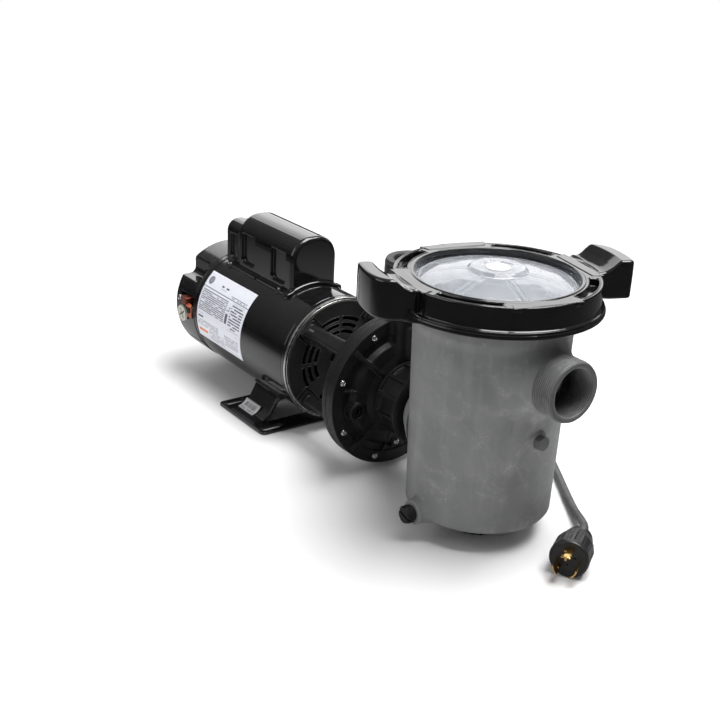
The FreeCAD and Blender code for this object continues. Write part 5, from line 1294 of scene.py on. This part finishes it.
def foot_sticker():
    """A small white sticker with generic bars on the -Y web of the foot."""
    path = np.array([(-73.6, 5.6), (-71.2, 6.1), (-68.4, 7.2), (-65.6, 9.0), (-63.2, 11.2), (-61.0, 14.2)])
    cols = 12
    xs = np.linspace(-25.2, 7.0, cols)
    rise = np.gradient(path, axis=0)
    normal = np.stack([-rise[:, 1], rise[:, 0]], 1)
    normal /= np.linalg.norm(normal, axis=1, keepdims=True)
    normal *= np.sign(normal[:, 1:2])
    low_layer = path + normal * 0.15
    high_layer = path + normal * 0.4
    points = [(x, y, z) for layer in (high_layer, low_layer) for y, z in layer for x in xs]
    rows = len(path)
    count = rows * cols
    top = grid_faces(rows, cols)
    rim = ([(0, c) for c in range(cols)] + [(r, cols - 1) for r in range(1, rows)]
           + [(rows - 1, c) for c in range(cols - 2, -1, -1)] + [(r, 0) for r in range(rows - 2, 0, -1)])
    index = [r * cols + c for r, c in rim]
    walls = [[index[k], index[(k + 1) % len(index)], index[(k + 1) % len(index)] + count,
              index[k] + count] for k in range(len(index))]
    faces = np.concatenate([top, top[:, ::-1] + count, np.array(walls)])

    def marks(n, u, v):
        bars = n.add("TexNoise", inputs={"Vector": n.add("CombineXYZ", inputs={
            "X": n.math("MULTIPLY", u, 46.0)}).outputs[0], "Scale": 1.0, "Detail": 1.0})
        ink = n.math("GREATER_THAN", bars.outputs["Fac"], 0.5)
        dark = (0.05, 0.05, 0.06)
        return [(n.math("MULTIPLY", ink, window(n, u, v, 0.14, 0.86, 0.42, 0.84)), dark),
                (fine_print(n, u, v, (0.1, 0.9, 0.14, 0.34), 9, 60, 0.6), dark)]
    coat = printed("sticker_print", (0.78, 0.78, 0.8), marks)
    piece = mesh_piece("foot_sticker", np.array(points) * MM, faces, coat=coat, slot="white_label")
    uv = piece.data.uv_layers.new(name="print")
    u, v = np.meshgrid(np.linspace(0, 1, cols), np.linspace(0, 1, rows))
    spread = np.stack([u.ravel(), v.ravel()], -1)
    spread = np.concatenate([spread, spread])
    loops = np.zeros(len(piece.data.loops), np.int32)
    piece.data.loops.foreach_get("vertex_index", loops)
    uv.data.foreach_set("uv", spread[loops].astype(np.float32).ravel())


# --- cord and plug -------------------------------------------------------------------------------

PLUG_TURN = math.radians(-58.6)
PLUG_FACE = np.array((457.8, 1.0, 19.8))


def cord():
    """The grooved flat cord, laid along the CAD cord's path."""
    heading = np.array((math.cos(PLUG_TURN), math.sin(PLUG_TURN), 0))
    rear = PLUG_FACE - heading * 50.1
    low = 4.6
    knots = np.array([
        (-160, 84.1, 64.9), (-160, 96.1, 61.9), (-145, 124, 36), (-110, 146, low + 5),
        (-65, 160, low + 0.6), (25, 174, low), (125, 184, low), (235, 176, low), (293, 146, low),
        (347, 111, low + 1.2), (385, 87, 8.5),
        tuple(rear - heading * 12 - np.array((0, 0, 1.2))), tuple(rear),
    ], float)
    gaps = np.linalg.norm(np.diff(knots, axis=0), axis=1)
    t = np.concatenate([[0], np.cumsum(gaps)])
    size = len(knots)
    matrix = np.zeros((size, size))
    right = np.zeros((size, 3))
    matrix[0, 0] = matrix[-1, -1] = 1
    for k in range(1, size - 1):
        matrix[k, k - 1] = gaps[k - 1]
        matrix[k, k] = 2 * (gaps[k - 1] + gaps[k])
        matrix[k, k + 1] = gaps[k]
        right[k] = 6 * ((knots[k + 1] - knots[k]) / gaps[k] - (knots[k] - knots[k - 1]) / gaps[k - 1])
    curve = np.linalg.solve(matrix, right)
    samples = np.linspace(0, t[-1], int(t[-1] / (2.2 * COARSE)))
    k = np.clip(np.searchsorted(t, samples) - 1, 0, size - 2)
    h = gaps[k][:, None]
    a = (t[k + 1] - samples)[:, None] / h
    b = 1 - a
    path = (a * knots[k] + b * knots[k + 1]
            + ((a ** 3 - a) * curve[k] + (b ** 3 - b) * curve[k + 1]) * h ** 2 / 6)
    path[:, 2] = np.maximum(path[:, 2], 4.45)
    tangent = np.gradient(path, axis=0)
    tangent /= np.linalg.norm(tangent, axis=1, keepdims=True)
    side = np.cross(tangent, (0, 0, 1))
    side /= np.linalg.norm(side, axis=1, keepdims=True)
    up = np.cross(side, tangent)
    theta = np.linspace(0, 2 * math.pi, 56, endpoint=False)
    twist = 0.35 + 0.9 * np.sin(np.linspace(0, 3.2, len(path)))
    groove = sum(np.exp(-(((theta - spot + math.pi) % (2 * math.pi) - math.pi) / 0.16) ** 2)
                 for spot in (1.05, 2.09, 4.19, 5.24))
    outline = 4.35 * (1 - 0.085 * groove)
    turned = theta[None, :] + twist[:, None]
    points = (path[:, None, :] + (outline * np.cos(turned))[..., None] * side[:, None, :]
              + (outline * np.sin(turned))[..., None] * up[:, None, :])
    rows, cols = points.shape[:2]
    faces = list(grid_faces(rows, cols, wrap_cols=True))
    faces = [list(f) for f in faces] + [list(range(cols))[::-1], [(rows - 1) * cols + c for c in range(cols)]]
    piece = mesh_piece("cord_jacket", points.reshape(-1, 3) * MM, faces, covers=["power_cord"],
                       coat=coats["cord"], slot="cord_jacket")
    tidy_normals(piece, 60)


def plug_space(field):
    """A field given in the plug's own frame: x along its axis, away from the cord."""
    c, s = math.cos(PLUG_TURN), math.sin(PLUG_TURN)

    def turned(x, y, z):
        a, b = x - PLUG_FACE[0], y - PLUG_FACE[1]
        return field(a * c + b * s, -a * s + b * c, z - PLUG_FACE[2])
    return turned


def plug():
    low, high = cad_box("plug_body")
    face = lathe_x([(-24, 0), (-24, 18.9, 0.8), (-2.2, 19.4, 0.6), (-0.8, 18.7, 0.8), (0, 17.2, 0.6),
                    (-0.4, 16.4, 0.3), (-0.4, 0)], z0=0, cell=0.2, margin=8)
    waist = lathe_x([(-36, 0), (-36, 15.2, 1), (-25, 17.6, 0.8), (-25, 0)], z0=0, cell=0.2, margin=8)
    ribs = around_x(box(-36, -3, 14, 19.2, -1.9, 1.9, 0.9), 12, 0, 0, 0)
    flutes = around_x(box(-37, -6.5, 18.5, 24, -3.1, 3.1, 0.8), 12, math.pi / 12, 0, 0)
    cone = lambda x, y, z: slab(np.hypot(y, z) - 19.4 - np.minimum(x + 22, 0) * 0.26, x, -36, -1, 0.8)
    holes = join(*[rod_x(-5, 3, 0.9, 6.2 * math.cos(a), 6.2 * math.sin(a), 0) for a in (0.4, 2.5, 4.6)])
    handle = join(face, waist, common(ribs, cone, 0.5), k=0.6)
    carve("plug_moulding", plug_space(cut(cut(handle, flutes, k=0.6), holes, k=0.3)), low, high, 0.5,
          covers=["plug_body"], coat=coats["plug"], slot="plug_shell")
    low, high = cad_box("plug_cap")
    cap = lathe_x([(-50, 4.6, 0.4), (-50, 9, 1), (-47, 12.4, 1.2), (-46, 11.4, 0.6), (-45, 13.2, 0.8),
                   (-43.6, 12.4, 0.5), (-42.4, 13.8, 0.8), (-40.6, 13.2, 0.5), (-39, 14.2, 0.8),
                   (-36.1, 14.2, 0.5), (-36.1, 4.6, 0.4)], z0=0, cell=0.2, margin=8)
    carve("plug_cap_moulding", plug_space(cap), low, high, 0.45, covers=["plug_cap"],
          coat=coats["plug"], slot="plug_shell")
    low, high = cad_box("plug_blades")

    def blades(x, y, z):
        angle = np.degrees(np.arctan2(z, y))
        radius = np.hypot(y, z)
        ring = 11.2
        best = None
        for middle, foot in ((90, True), (210, False), (330, False)):
            off = (angle - middle + 180) % 360 - 180
            arc = np.radians(np.abs(off) - 24) * radius
            blade = smooth_max(np.abs(radius - ring) - 0.78, arc, 0.6)
            blade = slab(blade, x, -1.5, 15.9, 0.35)
            hook = smooth_max(np.abs(radius - ring) - 0.9,
                              np.radians(np.abs(off - 14) - 5) * radius, 0.3)
            hook = slab(hook, x, 4.5, 8.2, 0.2)
            blade = smooth_max(blade, -hook, 0.3)
            if foot:
                toe = slab(smooth_max(np.abs(radius - 9.2) - 1.9, np.radians(np.abs(off) - 7) * radius, 0.4),
                           x, 7, 15.9, 0.35)
                blade = smooth_min(blade, toe, 0.4)
            best = blade if best is None else np.minimum(best, blade)
        return best
    carve("plug_blade_set", plug_space(blades), low - 1, high + 1, 0.3, covers=["plug_blades"],
          coat=coats["brass"], slot="brass")


for build in (strainer_pot, pot_foot, lid, lock_ring, pot_plugs, union_nut, volute, flange_screws,
              seal_plate, motor_shell, vent_disc, bright_rim, rear_canopy, capacitor_cover, nameplate,
              bonding_lug, selector_dial, motor_foot, foot_sticker, cord, plug):
    build()


# --- camera and light ----------------------------------------------------------------------------

# The photograph's viewpoint, from the solved camera: angles in degrees, lens and place in millimetres.
PHOTO_ANGLES = (53.23, 22.20, 2.72)
PHOTO_LENS = 60.34
PHOTO_SENSOR = 36
PHOTO_PLACE = (1122.54, -751.22, 613.5)


def studio():
    azimuth, elevation, roll = (math.radians(angle) for angle in PHOTO_ANGLES)
    back = Vector((math.sin(azimuth) * math.cos(elevation), -math.cos(azimuth) * math.cos(elevation),
                   math.sin(elevation)))
    right = Vector((math.cos(azimuth), math.sin(azimuth), 0))
    up = back.cross(right)
    tilted_right = math.cos(roll) * right + math.sin(roll) * up
    tilted_up = back.cross(tilted_right)
    camera = bpy.data.objects.new("photo_camera", bpy.data.cameras.new("photo_camera"))
    bpy.context.scene.collection.objects.link(camera)
    camera.data.sensor_width = PHOTO_SENSOR
    camera.data.lens = PHOTO_LENS
    camera.data.clip_start = 0.05
    turn = Matrix((tilted_right, tilted_up, back)).transposed().to_4x4()
    camera.matrix_world = Matrix.Translation(Vector(PHOTO_PLACE) * MM) @ turn
    bpy.context.scene.camera = camera

    floor_mesh = bpy.data.meshes.new("studio_floor")
    work = bmesh.new()
    bmesh.ops.create_circle(work, cap_ends=True, segments=96, radius=9)
    work.to_mesh(floor_mesh)
    work.free()
    floor = bpy.data.objects.new("studio_floor", floor_mesh)
    bpy.context.scene.collection.objects.link(floor)
    floor_mesh.materials.append(floor_paper())
    for name, spot, aim, size, power in (
            ("overhead", (0.5, 0.4, 2.0), (0.12, 0, 0.1), (1.6, 1.3), 66),
            ("left_sweep", (-0.45, -1.9, 1.2), (0.1, 0, 0.1), (1.6, 1.4), 10),
            ("back_sweep", (-1.3, 1.15, 0.95), (0.15, 0, 0.15), (2.6, 1.1), 15)):
        data = bpy.data.lights.new(name, "AREA")
        data.shape = "RECTANGLE"
        data.size, data.size_y = size
        data.energy = power
        lamp = bpy.data.objects.new(name, data)
        bpy.context.scene.collection.objects.link(lamp)
        lamp.location = spot
        lamp.rotation_euler = (Vector(aim) - Vector(spot)).to_track_quat("-Z", "Y").to_euler()
    world = bpy.data.worlds.new("studio_air")
    bpy.context.scene.world = world
    world.use_nodes = True
    n = Nodes(world)
    height = n.add("SeparateXYZ", inputs={"Vector": n.add("NewGeometry").outputs["Incoming"]})
    rise = n.math("MULTIPLY", height.outputs["Z"], -1.0)
    glow = n.remap(rise, 0.0, 0.9, 0.02, 0.3)
    path = n.add("LightPath")
    level = n.math("MAXIMUM", glow, path.outputs["Is Camera Ray"])
    air = n.add("Background", inputs={"Color": (1, 1, 1, 1), "Strength": level})
    out = n.add("OutputWorld")
    n.tree.links.new(air.outputs[0], out.inputs["Surface"])
    bpy.context.scene.view_settings.view_transform = "Standard"


def floor_paper():
    """Pale paper that burns out to white far from the pump and stays dim in its reflections."""
    material = bpy.data.materials.new("white_floor_paper")
    material.use_nodes = True
    n = Nodes(material)
    path = n.add("LightPath")
    away = n.add("VectorMath", operation="LENGTH",
                 inputs={0: n.add("NewGeometry").outputs["Position"]}).outputs["Value"]
    tone = n.mix(n.noise(3, 3), (0.88, 0.88, 0.88), (0.92, 0.92, 0.92))
    dim = n.math("MULTIPLY", path.outputs["Is Glossy Ray"], n.remap(away, 0.3, 0.75, 0.45, 0.94))
    tone = n.mix(dim, tone, (0, 0, 0))
    shader = n.add("BsdfPrincipled", inputs={"Base Color": tone, "Roughness": 0.8,
                                             "Specular IOR Level": 0.1})
    n.set(shader, "Normal", n.bump(n.noise(220, 3), 0.1, 0.1))
    white = n.add("Emission", inputs={"Color": (1, 1, 1, 1), "Strength": 1.0})
    burnt = n.math("MULTIPLY", path.outputs["Is Camera Ray"], n.remap(away, 0.55, 1.1))
    both = n.add("MixShader", inputs={0: burnt, 1: shader.outputs[0], 2: white.outputs[0]})
    out = n.add("OutputMaterial")
    n.tree.links.new(both.outputs[0], out.inputs["Surface"])
    return material


def finish_cad_nodes():
    """Give each CAD node that still shows its own material."""
    chosen = {
        "motor_front_bracket": "cast", "motor_rear_bracket": "enamel", "front_bearing": "steel",
        "rear_bearing": "steel", "motor_shaft": "steel", "rotor_core": "laminate",
        "stator_core": "laminate", "stator_windings": "winding", "cooling_fan": "plug",
        "centrifugal_switch": "plug", "terminal_board": "matte_black", "thermal_protector": "plug",
        "through_bolts": "steel", "capacitor": "steel", "foot_cushions": "rubber",
        "volute_gasket": "rubber", "impeller": "matte_black", "seal_seat": "ceramic",
        "seal_rotary": "rubber", "seal_spring": "steel", "slinger": "rubber", "union_seal": "rubber",
        "lid_seal": "rubber", "strainer_basket": "basket", "basket_handle": "steel",
        "trap_drain_seal": "rubber", "cord_grip": "plug", "capacitor_cover_screws": "stainless",
    }
    for name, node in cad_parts.items():
        node.data.materials.clear()
        node.data.materials.append(coats[chosen.get(name, "matte_black")])
        node.data.set_sharp_from_angle(angle=math.radians(30))
        node.data.polygons.foreach_set("use_smooth", [True] * len(node.data.polygons))


finish_cad_nodes()
studio()
